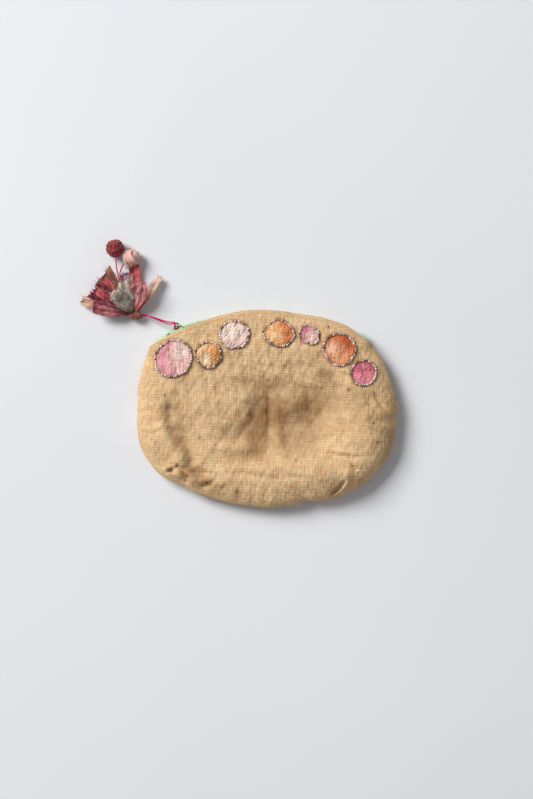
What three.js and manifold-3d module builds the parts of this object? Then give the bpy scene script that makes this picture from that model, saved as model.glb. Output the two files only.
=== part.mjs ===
// A small zip pouch in tan linen, lying on its back. Seven silk dots edged with strung seed beads are
// sewn below the curved zip edge, and the slider's thread carries a cloth flower with two round buds.
// Millimetres, +Z up, +Y towards the zip. The origin is on the table, under the middle of the pouch.
import * as THREE from 'three';
import { mergeVertices } from 'three/addons/utils/BufferGeometryUtils.js';
import Module from 'manifold-3d';

const wasm = await Module();
wasm.setup();

// Overall size of the pouch
const WIDTH = 181;
const HEIGHT = 133.6;
// The zip stands out beyond the top edge, so the middle of all is a little higher.
const TO_ORIGIN_Y = -1.1;

// Cloth and the clearances between layers
const LINEN = 0.9;
const LINING = 0.6;
const TAPE = 0.6;
const LAYER_GAP = 0.3;
const LINING_GAP = 0.5;
const HEM = 8;                    // width of the edge that is turned in
const SEAM_GAP = 0.3;             // between the two turned edges at the side seam

// Heights above the table
const SEAM_Z = 7.5;               // side seam
const CENTRE_Z = 12;              // top of the front where it sags in the middle
const CREST_Z = 18.5;             // mean height of the puffed rim
const CREST_TILT = 2.5;           // the rim is this much higher at the lower right than the mean
const CREST_TOWARDS = -50 * Math.PI / 180;
const RIM_WIDTH = 20;             // from the edge to the crest
const SAG_WIDTH = 38;             // from the crest to the flat middle
const HEEL_WIDTH = 16;            // from the edge to the flat underside

// Zip: an arc about a centre below the pouch, so that the slider turns about that centre
const ZIP_EDGE_R = 149.5;         // folded edge of both panels along the zip
const ZIP_ASIDE = -2.6;           // the arc's centre lies this far to the right of the middle
const ZIP_CREST_DROP = 0.6;       // and its crest this far under the top of the full outline
const ZIP_CENTRE = new THREE.Vector2(ZIP_ASIDE, HEIGHT / 2 - ZIP_CREST_DROP - ZIP_EDGE_R);
const ZIP_R = 150.2;              // middle of the coils
const ZIP_Z = 8.0;
const ZIP_TILT = 35 * Math.PI / 180;   // the zip's face looks outwards and this much upwards
// Degrees between the corners of the zip's edge and the full mouth, left and right
const MOUTH_SHORT = [0.3, 0.5];
const MOUTH_FADE = 3;             // degrees over which the mouth closes down to the seam
const FRONT_HEM_Z = 12.4;         // underside of the front's turned edge at the zip
const BACK_HEM_Z = 2.6;           // top of the back's turned edge at the zip
const TAPE_REACH = 6;             // how far the tapes run in along the turned edges
const TAPE_SHORT = 1.7;           // degrees between the tapes' ends and the ends of the mouth

const COIL_THICK = 1.4;
const COIL_INNER = 0.75;          // the solid edge of a row starts and ends this far from the middle line
const COIL_OUTER = 2.1;
const TOOTH_PITCH = 2.4;
const TOOTH_WIDTH = 0.85;
const TOOTH_PAST_MIDDLE = 0.5;

const SLIDER_CLEARANCE = 0.3;     // between the slider and the coils all round
const SLIDER_LENGTH = 10;
const SLIDER_WIDTH = 6.4;
const SLIDER_PLATE = 0.8;
const SLIDER_LIP = 0.75;
const BRIDGE_AT = 1.3;            // from the middle of the slider towards the closed zip
const BRIDGE_LENGTH = 6.8;
const BRIDGE_WIDTH = 1.4;
const BRIDGE_STRAP = 0.8;
const SLIDER_FROM_END = 7.8;      // degrees between the left end of the mouth and the slider when closed
const SLIDER_TO_END = 5.4;        // degrees between the slider and the right end of the mouth when open
const STOP_GAP = 0.4;             // degrees between the slider and the stops at either end
const STOP_LENGTH = 2.4;
const STOP_PROUD = 0.25;          // stops stand this much above the coils

// Seed beads and silk dots, from left to right: the first dot's angle about the middle of the pouch and
// the gap between each later dot and the one before, the inset from the pouch's edge, the half-width and
// half-height to the middle of the beads, and how far the outline wanders
const BEAD_R = 0.95;
const BEAD_PITCH = 1.45;
const SILK = 0.6;
const SEAT = 0.35;                // between the front panel and what is sewn onto it
const DOTS = [
  { name: 'pink_large', around: 145.4, inset: 16.5, a: 11.3, b: 12.0, wander: 0.5, colour: 0xd9a0a4 },
  { name: 'orange_small', apart: 4.2, inset: 22.7, a: 8.2, b: 8.1, wander: 0.3, colour: 0xe0a468 },
  { name: 'pale_pink', apart: 5.8, inset: 13.2, a: 9.7, b: 9.4, wander: 0.4, colour: 0xe6cdc8 },
  { name: 'orange', apart: 11.8, inset: 12.8, a: 9.7, b: 8.7, wander: 0.4, colour: 0xdf9355 },
  { name: 'pink_small', apart: 6.1, inset: 10.4, a: 6.4, b: 5.7, wander: 0.5, colour: 0xe2aeb2 },
  { name: 'rust', apart: 6.9, inset: 13.7, a: 10.2, b: 10.3, wander: 0.5, colour: 0xcf7a4f },
  { name: 'magenta', apart: 5.2, inset: 16.3, a: 8.0, b: 8.1, wander: 0.4, colour: 0xcf6d8e },
];

// Thread, flower and buds
const THREAD = 0.8;
const LOOP_R = 1.6;
const LOOP_TILT = 35;             // degrees that the loop leans on the bridge
const THREAD_PITCH = 1.3;         // between the middles of the two threads
const FLOWER_FROM_LOOP = new THREE.Vector2(-29.3, 7.6);
const FLOWER_Z = 5;
const BINDING_R = 4.2;
const BINDING_BORE_R = 1.5;
const PETAL = 0.45;
const PETAL_FROM = 4.55;          // distance from the flower's base where the petals start
const PETAL_BASE_HALF = 0.7;
const BUD_R = 6.3;
const RED_BUD_FROM_FLOWER = new THREE.Vector3(-14.1, 47, BUD_R + 0.2 - FLOWER_Z);
const PEACH_BUD_FROM_FLOWER = new THREE.Vector3(-2.5, 40.4, BUD_R + 0.2 - FLOWER_Z);

const rad = (degrees) => degrees * Math.PI / 180;
const mix = THREE.MathUtils.lerp;
const clamp01 = (t) => THREE.MathUtils.clamp(t, 0, 1);
const smooth = (t) => THREE.MathUtils.smoothstep(t, 0, 1);

// Geometry helpers

// A closed geometry from shared points and the triangles between them.
function indexed(points, triangles) {
  const geometry = new THREE.BufferGeometry();
  const numbers = points.flatMap((p) => [p.x, p.y, p.z]);
  geometry.setAttribute('position', new THREE.Float32BufferAttribute(numbers, 3));
  geometry.setIndex(triangles);
  return geometry;
}

// Sections that start and end on the middle axis, one for each angle, joined into a closed body.
function loftRound(sectionAt, angles) {
  const sections = angles.map(sectionAt);
  const rings = sections[0].length - 2;
  const points = [sections[0][0], sections[0][rings + 1]];
  sections.forEach((section) => points.push(...section.slice(1, -1)));
  const at = (k, j) => 2 + (k % angles.length) * rings + j;
  const triangles = [];
  for (let k = 0; k < angles.length; k++) {
    triangles.push(0, at(k, 0), at(k + 1, 0));
    triangles.push(1, at(k + 1, rings - 1), at(k, rings - 1));
    for (let j = 0; j < rings - 1; j++) {
      triangles.push(at(k, j), at(k, j + 1), at(k + 1, j + 1));
      triangles.push(at(k, j), at(k + 1, j + 1), at(k + 1, j));
    }
  }
  return indexed(points, triangles);
}

// Outlines of equal count joined one to the next, counter-clockwise seen against the way they run.
function joined(stations, closed) {
  const count = stations.length;
  const sides = stations[0].length;
  const at = (i, j) => (i % count) * sides + (j % sides);
  const triangles = [];
  for (let i = 0; i < (closed ? count : count - 1); i++) {
    for (let j = 0; j < sides; j++) {
      triangles.push(at(i, j), at(i, j + 1), at(i + 1, j + 1));
      triangles.push(at(i, j), at(i + 1, j + 1), at(i + 1, j));
    }
  }
  return { points: stations.flat(), triangles, at };
}

// A point at an angle along the zip, at a radius from its centre and a height.
function onZip(angle, radius, height) {
  const turn = rad(angle);
  return new THREE.Vector3(
    ZIP_CENTRE.x + radius * Math.sin(turn), ZIP_CENTRE.y + radius * Math.cos(turn), height);
}

// A point of the zip's own frame: x along it, y out of its face, z across it towards the front panel.
function fromZip(angle, x, y, z) {
  const radius = ZIP_R + y * Math.cos(ZIP_TILT) - z * Math.sin(ZIP_TILT);
  const height = ZIP_Z + y * Math.sin(ZIP_TILT) + z * Math.cos(ZIP_TILT);
  return onZip(angle + x / ZIP_R * 180 / Math.PI, radius, height);
}

// Geometry drawn in the zip's own frame, bent onto the zip's arc.
function bentOnZip(geometry, angle) {
  const position = geometry.attributes.position;
  for (let i = 0; i < position.count; i++) {
    const bent = fromZip(angle, position.getX(i), position.getY(i), position.getZ(i));
    position.setXYZ(i, bent.x, bent.y, bent.z);
  }
  return geometry;
}

// A shape in x and z of the zip's frame, between two heights above its middle.
function plate(points, from, to) {
  const shape = new THREE.Shape(points.map(([x, z]) => new THREE.Vector2(x, z)));
  const geometry = new THREE.ExtrudeGeometry(shape, { depth: to - from, bevelEnabled: false });
  return geometry.rotateX(Math.PI / 2).translate(0, to, 0);
}

function box(fromX, toX, fromY, toY, fromZ, toZ) {
  const geometry = new THREE.BoxGeometry(toX - fromX, toY - fromY, toZ - fromZ);
  return geometry.translate((fromX + toX) / 2, (fromY + toY) / 2, (fromZ + toZ) / 2);
}

// A flat outline in (radius, height) turned about the zip's centre between two angles.
function turnedAboutZip(outline, from, to, steps) {
  const angles = Array.from({ length: steps + 1 }, (_, i) => mix(from, to, i / steps));
  const stations = angles.map((angle) => outline.map((p) => onZip(angle, p.x, p.y)));
  const { points, triangles, at } = joined(stations, false);
  for (const [a, b, c] of THREE.ShapeUtils.triangulateShape(outline, [])) {
    triangles.push(at(0, c), at(0, b), at(0, a));
    triangles.push(at(steps, a), at(steps, b), at(steps, c));
  }
  return indexed(points, triangles);
}

// A line of (radius, height) points moved sideways: positive is to the left of its direction.
function offsetLine(line, distance) {
  return line.map((p, i) => {
    const before = p.clone().sub(line[Math.max(i - 1, 0)]).normalize();
    const after = line[Math.min(i + 1, line.length - 1)].clone().sub(p).normalize();
    const ahead = before.clone().add(after).normalize();
    const corner = i > 0 && i < line.length - 1 ? Math.max(ahead.dot(after), 0.5) : 1;
    return new THREE.Vector2(p.x - ahead.y * distance / corner, p.y + ahead.x * distance / corner);
  });
}

// The outline of a strip of cloth whose middle runs through the given points.
const ribbon = (middle, thickness) => [
  ...offsetLine(middle, -thickness / 2),
  ...offsetLine(middle, thickness / 2).reverse(),
];

// A sheet of even thickness on a surface of two parameters from 0 to 1.
function sheetOn(surface, across, along, thickness) {
  const grid = [];
  const step = 1e-3;
  for (const side of [0.5, -0.5]) {
    for (let i = 0; i <= across; i++) {
      for (let j = 0; j <= along; j++) {
        const [u, v] = [i / across, j / along];
        const du = surface(u + step, v).sub(surface(u - step, v));
        const dv = surface(u, v + step).sub(surface(u, v - step));
        grid.push(surface(u, v).addScaledVector(du.cross(dv).normalize(), side * thickness));
      }
    }
  }
  const at = (side, i, j) => side * (across + 1) * (along + 1) + i * (along + 1) + j;
  const triangles = [];
  const quad = (a, b, c, d) => triangles.push(a, b, c, a, c, d);
  for (let i = 0; i < across; i++) {
    for (let j = 0; j < along; j++) {
      quad(at(0, i, j), at(0, i + 1, j), at(0, i + 1, j + 1), at(0, i, j + 1));
      quad(at(1, i, j), at(1, i, j + 1), at(1, i + 1, j + 1), at(1, i + 1, j));
    }
    quad(at(0, i, 0), at(1, i, 0), at(1, i + 1, 0), at(0, i + 1, 0));
    quad(at(0, i, along), at(0, i + 1, along), at(1, i + 1, along), at(1, i, along));
  }
  for (let j = 0; j < along; j++) {
    quad(at(0, 0, j), at(0, 0, j + 1), at(1, 0, j + 1), at(1, 0, j));
    quad(at(0, across, j), at(1, across, j), at(1, across, j + 1), at(0, across, j + 1));
  }
  return indexed(grid, triangles);
}

// A thread through the given points.
function threadThrough(points, steps) {
  const shape = new THREE.Shape(Array.from({ length: 8 }, (_, k) => new THREE.Vector2(
    THREAD / 2 * Math.cos(k * Math.PI / 4), THREAD / 2 * Math.sin(k * Math.PI / 4))));
  const path = new THREE.CatmullRomCurve3(points);
  return new THREE.ExtrudeGeometry(shape, { steps, extrudePath: path, bevelEnabled: false });
}

// Solids for joins and cuts.
function solid(geometry) {
  const bare = geometry.clone();
  bare.deleteAttribute('normal');
  bare.deleteAttribute('uv');
  const merged = mergeVertices(bare, 1e-4);
  return new wasm.Manifold(new wasm.Mesh({
    numProp: 3,
    vertProperties: merged.attributes.position.array,
    triVerts: new Uint32Array(merged.index.array),
  }));
}

function geometryOf(made) {
  const mesh = made.getMesh();
  const geometry = new THREE.BufferGeometry();
  geometry.setAttribute('position', new THREE.BufferAttribute(mesh.vertProperties, 3));
  geometry.setIndex(new THREE.BufferAttribute(mesh.triVerts, 1));
  return geometry;
}

// The shape of the pouch

// Below 1 inside a superellipse with its own roundness in each quarter.
function fullness(x, y) {
  const power = y >= 0 ? (x >= 0 ? 2.35 : 3.0) : (x >= 0 ? 2.5 : 2.3);
  return (Math.abs(2 * x / WIDTH) ** power + Math.abs(2 * y / HEIGHT) ** power) ** (1 / power);
}

// Distance from the middle of the pouch to its edge: the superellipse cut by the zip's arc.
function outline(theta) {
  const [c, s] = [Math.cos(theta), Math.sin(theta)];
  const towards = c * ZIP_CENTRE.x + s * ZIP_CENTRE.y;
  const arc = towards + Math.sqrt(towards ** 2 - ZIP_CENTRE.lengthSq() + ZIP_EDGE_R ** 2);
  return Math.min(1 / fullness(c, s), arc);
}

// Angle along the zip at which the arc leaves the superellipse, to the left (-1) or the right (1).
function cornerOfZip(side) {
  let [inside, outside] = [0, 60];
  for (let n = 0; n < 40; n++) {
    const middle = (inside + outside) / 2;
    const p = onZip(side * middle, ZIP_EDGE_R, 0);
    if (fullness(p.x, p.y) < 1) inside = middle;
    else outside = middle;
  }
  return side * inside;
}
const CORNER = cornerOfZip(-1);
const MOUTH_FROM = CORNER + MOUTH_SHORT[0];
const MOUTH_TO = cornerOfZip(1) - MOUTH_SHORT[1];
const SLIDER_AT = MOUTH_FROM + SLIDER_FROM_END;
const SLIDER_TRAVEL = MOUTH_TO - SLIDER_TO_END - SLIDER_AT;

// Angle along the zip of the edge at an angle about the middle of the pouch, and the other way round.
function zipAngleAt(theta) {
  const reach = outline(theta);
  const [x, y] = [reach * Math.cos(theta), reach * Math.sin(theta)];
  return Math.atan2(x - ZIP_CENTRE.x, y - ZIP_CENTRE.y) * 180 / Math.PI;
}

function thetaAt(zipAngle) {
  const p = onZip(zipAngle, ZIP_EDGE_R, 0);
  return Math.atan2(p.y, p.x);
}

// 1 where the zip holds the panels apart, 0 along the side seam.
function mouthAt(theta) {
  if (Math.sin(theta) < 0) return 0;
  const angle = zipAngleAt(theta);
  const [before, after] = [angle - MOUTH_FROM, MOUTH_TO - angle];
  return smooth(before / MOUTH_FADE + 1) * smooth(after / MOUTH_FADE + 1);
}

const frontHemAt = (theta) => mix(SEAM_Z + SEAM_GAP / 2, FRONT_HEM_Z, mouthAt(theta));
const backHemAt = (theta) => mix(SEAM_Z - SEAM_GAP / 2, BACK_HEM_Z, mouthAt(theta));
const roundedRise = (t) => Math.sqrt(1 - (1 - clamp01(t)) ** 2);

// Heights of the outer faces at an inset from the edge. The back is flat on the table.
function frontZ(theta, inset) {
  const edge = frontHemAt(theta) + 2 * LINEN;
  const crest = CREST_Z + CREST_TILT * Math.cos(theta - CREST_TOWARDS);
  const rim = mix(edge, crest, roundedRise(inset / RIM_WIDTH));
  return mix(rim, CENTRE_Z, smooth((inset - RIM_WIDTH) / SAG_WIDTH));
}

const backZ = (theta, inset) => (backHemAt(theta) - 2 * LINEN) * (1 - roundedRise(inset / HEEL_WIDTH));

// Radii and heights of an outer face from the middle to the edge, and how many the lining follows.
const FACES = {
  front: { side: 1, heightAt: frontZ, hemAt: frontHemAt, rim: RIM_WIDTH,
    middle: [0, 0.3, 0.55, 0.75, 0.9], edge: [1, 0.7, 0.45, 0.25, 0.1, 0], lined: 7 },
  back: { side: -1, heightAt: backZ, hemAt: backHemAt, rim: HEEL_WIDTH,
    middle: [0, 0.6], edge: [1, 0.6, 0.3, 0.1, 0], lined: 3 },
};

function faceLine(face, theta) {
  const reach = outline(theta);
  const inner = reach - face.rim;
  const radii = [...face.middle.map((k) => k * inner), ...face.edge.map((k) => reach - k * face.rim)];
  return radii.map((r) => new THREE.Vector2(r, face.heightAt(theta, reach - r)));
}

const inPlan = (theta) => (p) => new THREE.Vector3(p.x * Math.cos(theta), p.x * Math.sin(theta), p.y);

// A panel with its edge turned in flat.
function panelSection(face, theta) {
  const reach = outline(theta);
  const line = faceLine(face, theta);
  const hem = face.hemAt(theta);
  const inside = offsetLine(line, -face.side * LINEN);
  inside[0].set(0, line[0].y - face.side * LINEN);
  inside[inside.length - 1].set(reach - LINEN, hem + face.side * 2 * LINEN);
  const turned = [
    [reach, hem],
    [reach - HEM, hem],
    [reach - HEM, hem + face.side * LINEN],
    [reach - LINEN, hem + face.side * LINEN],
  ].map(([r, z]) => new THREE.Vector2(r, z));
  const whole = [...line, ...turned, ...inside.reverse()].map(inPlan(theta));
  return face.side > 0 ? whole : whole.reverse();
}

// A lining that follows a panel inside and turns along the end of its turned edge.
function liningSection(face, theta) {
  const reach = outline(theta);
  const end = reach - HEM - LAYER_GAP;
  const outer = offsetLine(faceLine(face, theta), -face.side * (LINEN + LINING_GAP)).slice(0, face.lined);
  outer[0].set(0, face.heightAt(theta, reach) - face.side * (LINEN + LINING_GAP));
  const under = face.heightAt(theta, HEM + LAYER_GAP) - face.side * (LINEN + 2 * LINING_GAP);
  outer.push(new THREE.Vector2(end, mix(face.hemAt(theta), under, 0.7)));
  outer.push(new THREE.Vector2(end, face.hemAt(theta)));
  const inner = offsetLine(outer, -face.side * LINING);
  inner[0].set(0, outer[0].y - face.side * LINING);
  inner[inner.length - 1].y = outer[outer.length - 1].y;
  const whole = [...outer, ...inner.reverse()].map(inPlan(theta));
  return face.side > 0 ? whole : whole.reverse();
}

// Sections at even angles, and where the zip's corner and the ends of the mouth are.
const KEPT = [CORNER, MOUTH_FROM, MOUTH_FROM - MOUTH_FADE, MOUTH_TO, MOUTH_TO + MOUTH_FADE].map(thetaAt);
const EVEN = Array.from({ length: 42 }, (_, k) => -Math.PI + 2 * Math.PI * k / 42);
const SPARE = EVEN.filter((a) => KEPT.every((b) => Math.abs(a - b) > 0.06));
const SECTIONS = [...KEPT, ...SPARE].sort((a, b) => a - b);

const bodies = [];
const add = (name, geometry, colour, roughness = 0.85, metalness = 0) => {
  bodies.push({ name, geometry, colour, roughness, metalness });
  return geometry;
};

const LINEN_TAN = 0xb98f63;
const MINT = 0x8fc7a8;
const frontPanel = loftRound((theta) => panelSection(FACES.front, theta), SECTIONS);
add('front_panel', frontPanel, LINEN_TAN);
add('back_panel', loftRound((theta) => panelSection(FACES.back, theta), SECTIONS), LINEN_TAN);
add('front_lining', loftRound((theta) => liningSection(FACES.front, theta), SECTIONS), 0xd9cbb2);
add('back_lining', loftRound((theta) => liningSection(FACES.back, theta), SECTIONS), 0xd9cbb2);

// The zip: two tapes, two rows of coil that mesh, and their stops

const slot = SLIDER_WIDTH / 2 + LAYER_GAP;
const tapeEdge = (side) => {
  const hem = side > 0 ? FRONT_HEM_Z : BACK_HEM_Z;
  const level = hem - side * (LAYER_GAP + TAPE / 2);
  const across = (z) => new THREE.Vector2(
    ZIP_R - z * Math.sin(ZIP_TILT), ZIP_Z + z * Math.cos(ZIP_TILT));
  const straight = [across(side * (COIL_OUTER + LAYER_GAP)), across(side * slot)];
  const inner = ZIP_EDGE_R - TAPE_REACH;
  const bend = side > 0
    ? [[straight[1].x - 0.9, level]]
    : [[straight[1].x + 0.25, straight[1].y - 0.9], [straight[1].x - 0.5, level]];
  return [...straight, ...bend.map(([r, z]) => new THREE.Vector2(r, z)), new THREE.Vector2(inner, level)];
};
const tape = (side) => turnedAboutZip(
  ribbon(tapeEdge(side), TAPE), MOUTH_FROM + TAPE_SHORT, MOUTH_TO - TAPE_SHORT, 20);
add('zip_tape_front', tape(1), MINT);
add('zip_tape_back', tape(-1), MINT);

const millimetres = (degrees) => rad(degrees) * ZIP_R;
const SLIDER_HALF = SLIDER_LENGTH / 2 / ZIP_R * 180 / Math.PI;
const ROW_FROM = SLIDER_AT - SLIDER_HALF - STOP_GAP;
const ROW_TO = SLIDER_AT + SLIDER_TRAVEL + SLIDER_HALF + STOP_GAP;
const TEETH_FROM = millimetres(SLIDER_AT) - 1.6;
const TEETH = Math.floor((millimetres(ROW_TO) - TEETH_FROM - TOOTH_PITCH) / TOOTH_PITCH);

// A row: a solid edge with the teeth that reach past the middle line, drawn in x and z and thickened.
function coilRow(side) {
  const start = millimetres(ROW_FROM);
  const end = millimetres(ROW_TO);
  const outer = [[start, COIL_OUTER]];
  const inner = [[start, COIL_INNER]];
  const faces = [];
  for (let k = 0; k < TEETH; k++) {
    const x = TEETH_FROM + (k + (side > 0 ? 0.25 : 0.75)) * TOOTH_PITCH;
    const last = inner.length - 1;
    inner.push([x - TOOTH_WIDTH / 2, COIL_INNER], [x - TOOTH_WIDTH / 2 + 0.15, -TOOTH_PAST_MIDDLE]);
    inner.push([x + TOOTH_WIDTH / 2 - 0.15, -TOOTH_PAST_MIDDLE], [x + TOOTH_WIDTH / 2, COIL_INNER]);
    outer.push([x + TOOTH_WIDTH / 2 + 0.2, COIL_OUTER]);
    const [root, tip, tipEnd, rootEnd] = [1, 2, 3, 4].map((n) => ['inner', last + n]);
    faces.push([['outer', k], ['inner', last], root], [['outer', k], root, rootEnd]);
    faces.push([['outer', k], rootEnd, ['outer', k + 1]], [root, tip, tipEnd], [root, tipEnd, rootEnd]);
  }
  inner.push([end, COIL_INNER]);
  outer.push([end, COIL_OUTER]);
  faces.push([['outer', TEETH], ['inner', inner.length - 2], ['inner', inner.length - 1]]);
  faces.push([['outer', TEETH], ['inner', inner.length - 1], ['outer', TEETH + 1]]);
  const contour = [...inner, ...outer.slice().reverse()];
  const index = ([edge, n]) => edge === 'inner' ? n : contour.length - 1 - n;
  const count = contour.length;
  const face = (y) => contour.map(([x, z]) => new THREE.Vector3(x, y, side * z));
  const points = [...face(-COIL_THICK / 2), ...face(COIL_THICK / 2)];
  const triangles = [];
  const put = (i, j, k) => triangles.push(...(side > 0 ? [i, j, k] : [k, j, i]));
  for (const [i, j, k] of faces.map((face) => face.map(index))) {
    put(i, j, k);
    put(count + k, count + j, count + i);
  }
  contour.forEach((_, i) => {
    const next = (i + 1) % count;
    put(i, count + i, count + next);
    put(i, count + next, next);
  });
  return bentOnZip(indexed(points, triangles), 0);
}
add('zip_coil_front', coilRow(1), 0x7fb596, 0.5);
add('zip_coil_back', coilRow(-1), 0x7fb596, 0.5);

const stopAt = (from, to, z0, z1) => {
  const proud = COIL_THICK / 2 + STOP_PROUD;
  return bentOnZip(box(millimetres(from), millimetres(to), -proud, proud, z0, z1), 0);
};
const stopSize = STOP_LENGTH / ZIP_R * 180 / Math.PI;
const stopGap = LAYER_GAP / ZIP_R * 180 / Math.PI;
const TOP_STOP_AT = ROW_FROM - stopGap - stopSize;
const BOTTOM_STOP_AT = ROW_TO + stopGap;
const STOPS = {
  zip_top_stop_front: [TOP_STOP_AT, ROW_FROM - stopGap, COIL_INNER, COIL_OUTER],
  zip_top_stop_back: [TOP_STOP_AT, ROW_FROM - stopGap, -COIL_OUTER, -COIL_INNER],
  zip_bottom_stop: [BOTTOM_STOP_AT, BOTTOM_STOP_AT + stopSize, -COIL_OUTER, COIL_OUTER],
};
Object.entries(STOPS).forEach(([name, size]) => add(name, stopAt(...size), 0xbfc6c2, 0.35, 0.8));

// The slider: two plates with lips round the coils, joined by the divider, and a bridge on the outer one

const channel = COIL_THICK / 2 + SLIDER_CLEARANCE;
const faceAt = channel + SLIDER_PLATE;
const strapMiddle = faceAt + LAYER_GAP + THREAD / 2 + LOOP_R;
const half = { x: SLIDER_LENGTH / 2, z: SLIDER_WIDTH / 2 };
const sliderOutline = [
  [-half.x, -0.5 * half.z], [-half.x + 1.3, -half.z], [half.x - 2.6, -half.z], [half.x, -0.9 * half.z],
  [half.x, 0.9 * half.z], [half.x - 2.6, half.z], [-half.x + 1.3, half.z], [-half.x, 0.5 * half.z],
];
const lip = (outwards, across) => {
  const y = [outwards * (TAPE / 2 + SLIDER_CLEARANCE), outwards * (channel + 0.1)].sort((a, b) => a - b);
  const z = [across * (half.z - SLIDER_LIP), across * half.z].sort((a, b) => a - b);
  return box(-half.x + 2.2, half.x - 2.6, y[0], y[1], z[0], z[1]);
};
const foot = faceAt - 0.1;
const strapTop = strapMiddle + BRIDGE_STRAP / 2;
const strapUnder = strapMiddle - BRIDGE_STRAP / 2;
const arch = [
  [-0.5, foot], [-0.38, strapTop], [0.38, strapTop], [0.5, foot],
  [0.32, foot], [0.28, strapUnder], [-0.28, strapUnder], [-0.32, foot],
];
const bridgeShape = new THREE.Shape(arch.map(([x, y]) => new THREE.Vector2(x * BRIDGE_LENGTH, y)));
const bridge = new THREE.ExtrudeGeometry(bridgeShape, { depth: BRIDGE_WIDTH, bevelEnabled: false });
bridge.translate(BRIDGE_AT, 0, -BRIDGE_WIDTH / 2);
const dividerHalf = COIL_INNER - SLIDER_CLEARANCE;
const sliderSolids = [
  plate(sliderOutline, channel, faceAt),
  plate(sliderOutline, -faceAt, -channel),
  box(-half.x + 0.5, -half.x + 2.2, -channel - 0.2, channel + 0.2, -dividerHalf, dividerHalf),
  lip(1, 1),
  lip(1, -1),
  lip(-1, 1),
  lip(-1, -1),
  bridge,
].map(solid);
const sliderBody = geometryOf(wasm.Manifold.union(sliderSolids));
add('zip_slider', bentOnZip(sliderBody, SLIDER_AT), 0x9fd3b8, 0.3, 0.2);

// Silk dots and their rings of beads, laid on the front panel

const caster = new THREE.Raycaster();
const frontMesh = new THREE.Mesh(frontPanel, new THREE.MeshBasicMaterial());
frontMesh.updateMatrixWorld();
function frontTop(x, y) {
  caster.set(new THREE.Vector3(x, y, 100), new THREE.Vector3(0, 0, -1));
  return caster.intersectObject(frontMesh)[0].point.z;
}

function frontNormal(x, y) {
  const step = 1.5;
  const slopeX = (frontTop(x + step, y) - frontTop(x - step, y)) / (2 * step);
  const slopeY = (frontTop(x, y + step) - frontTop(x, y - step)) / (2 * step);
  return new THREE.Vector3(-slopeX, -slopeY, 1).normalize();
}

function overFront(x, y, distance) {
  return new THREE.Vector3(x, y, frontTop(x, y)).addScaledVector(frontNormal(x, y), distance);
}

// Distance from the middle of a dot to the middle of its ring of beads.
function ringReach(dot, index, phi) {
  const even = 1 / Math.hypot(Math.cos(phi) / dot.a, Math.sin(phi) / dot.b);
  return even + dot.wander * (0.6 * Math.sin(2 * phi + index) + 0.4 * Math.sin(3 * phi + 2 * index));
}

function silkDot(dot, index) {
  const around = 16;
  const steps = [0, 0.55, 1];
  const sectionAt = (phi) => {
    const reach = ringReach(dot, index, phi) - BEAD_R - SEAT;
    const [x, y] = [reach * Math.cos(phi), reach * Math.sin(phi)];
    const face = (distance) => steps.map((k) => overFront(dot.x + k * x, dot.y + k * y, distance));
    return [...face(SEAT + SILK), ...face(SEAT).reverse()];
  };
  return loftRound(sectionAt, Array.from({ length: around }, (_, k) => 2 * Math.PI * k / around));
}

function beadRing(dot, index) {
  const stations = Math.round(Math.PI * (dot.a + dot.b) / (2 * BEAD_PITCH));
  const middle = Array.from({ length: stations }, (_, k) => {
    const phi = 2 * Math.PI * k / stations;
    const reach = ringReach(dot, index, phi);
    return overFront(dot.x + reach * Math.cos(phi), dot.y + reach * Math.sin(phi), SEAT + BEAD_R);
  });
  const outlines = middle.map((p, k) => {
    const before = middle[(k + stations - 1) % stations];
    const ahead = middle[(k + 1) % stations].clone().sub(before).normalize();
    const up = frontNormal(p.x, p.y);
    const side = ahead.clone().cross(up).normalize();
    return Array.from({ length: 6 }, (_, j) => p.clone()
      .addScaledVector(up, BEAD_R * Math.cos(j * Math.PI / 3))
      .addScaledVector(side, BEAD_R * Math.sin(j * Math.PI / 3)));
  });
  const { points, triangles } = joined(outlines, true);
  return indexed(points, triangles);
}

function edgeAt(theta) {
  return new THREE.Vector2(Math.cos(theta), Math.sin(theta)).multiplyScalar(outline(theta));
}

// The point squarely inside the edge at an angle.
function dotMiddle(dot, theta) {
  const along = edgeAt(theta + 0.05).sub(edgeAt(theta - 0.05)).normalize();
  return edgeAt(theta).add(new THREE.Vector2(-along.y, along.x).multiplyScalar(dot.inset));
}

// The angle at which a dot keeps its gap to the one before it.
function angleAfter(before, dot) {
  const wanted = dot.apart + (before.a + before.b + dot.a + dot.b) / 2;
  let [near, far] = [before.theta, before.theta - Math.PI / 2];
  for (let n = 0; n < 40; n++) {
    const theta = (near + far) / 2;
    if (dotMiddle(dot, theta).distanceTo(before.middle) < wanted) near = theta;
    else far = theta;
  }
  return near;
}

DOTS.forEach((dot, index) => {
  dot.theta = index ? angleAfter(DOTS[index - 1], dot) : rad(dot.around);
  dot.middle = dotMiddle(dot, dot.theta);
  [dot.x, dot.y] = dot.middle.toArray();
  add('dot_' + dot.name, silkDot(dot, index), dot.colour, 0.6);
  add('beads_' + dot.name, beadRing(dot, index), 0xb9a7a2, 0.2, 0.6);
});

// The thread through the slider's bridge, the flower and its two buds

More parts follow.
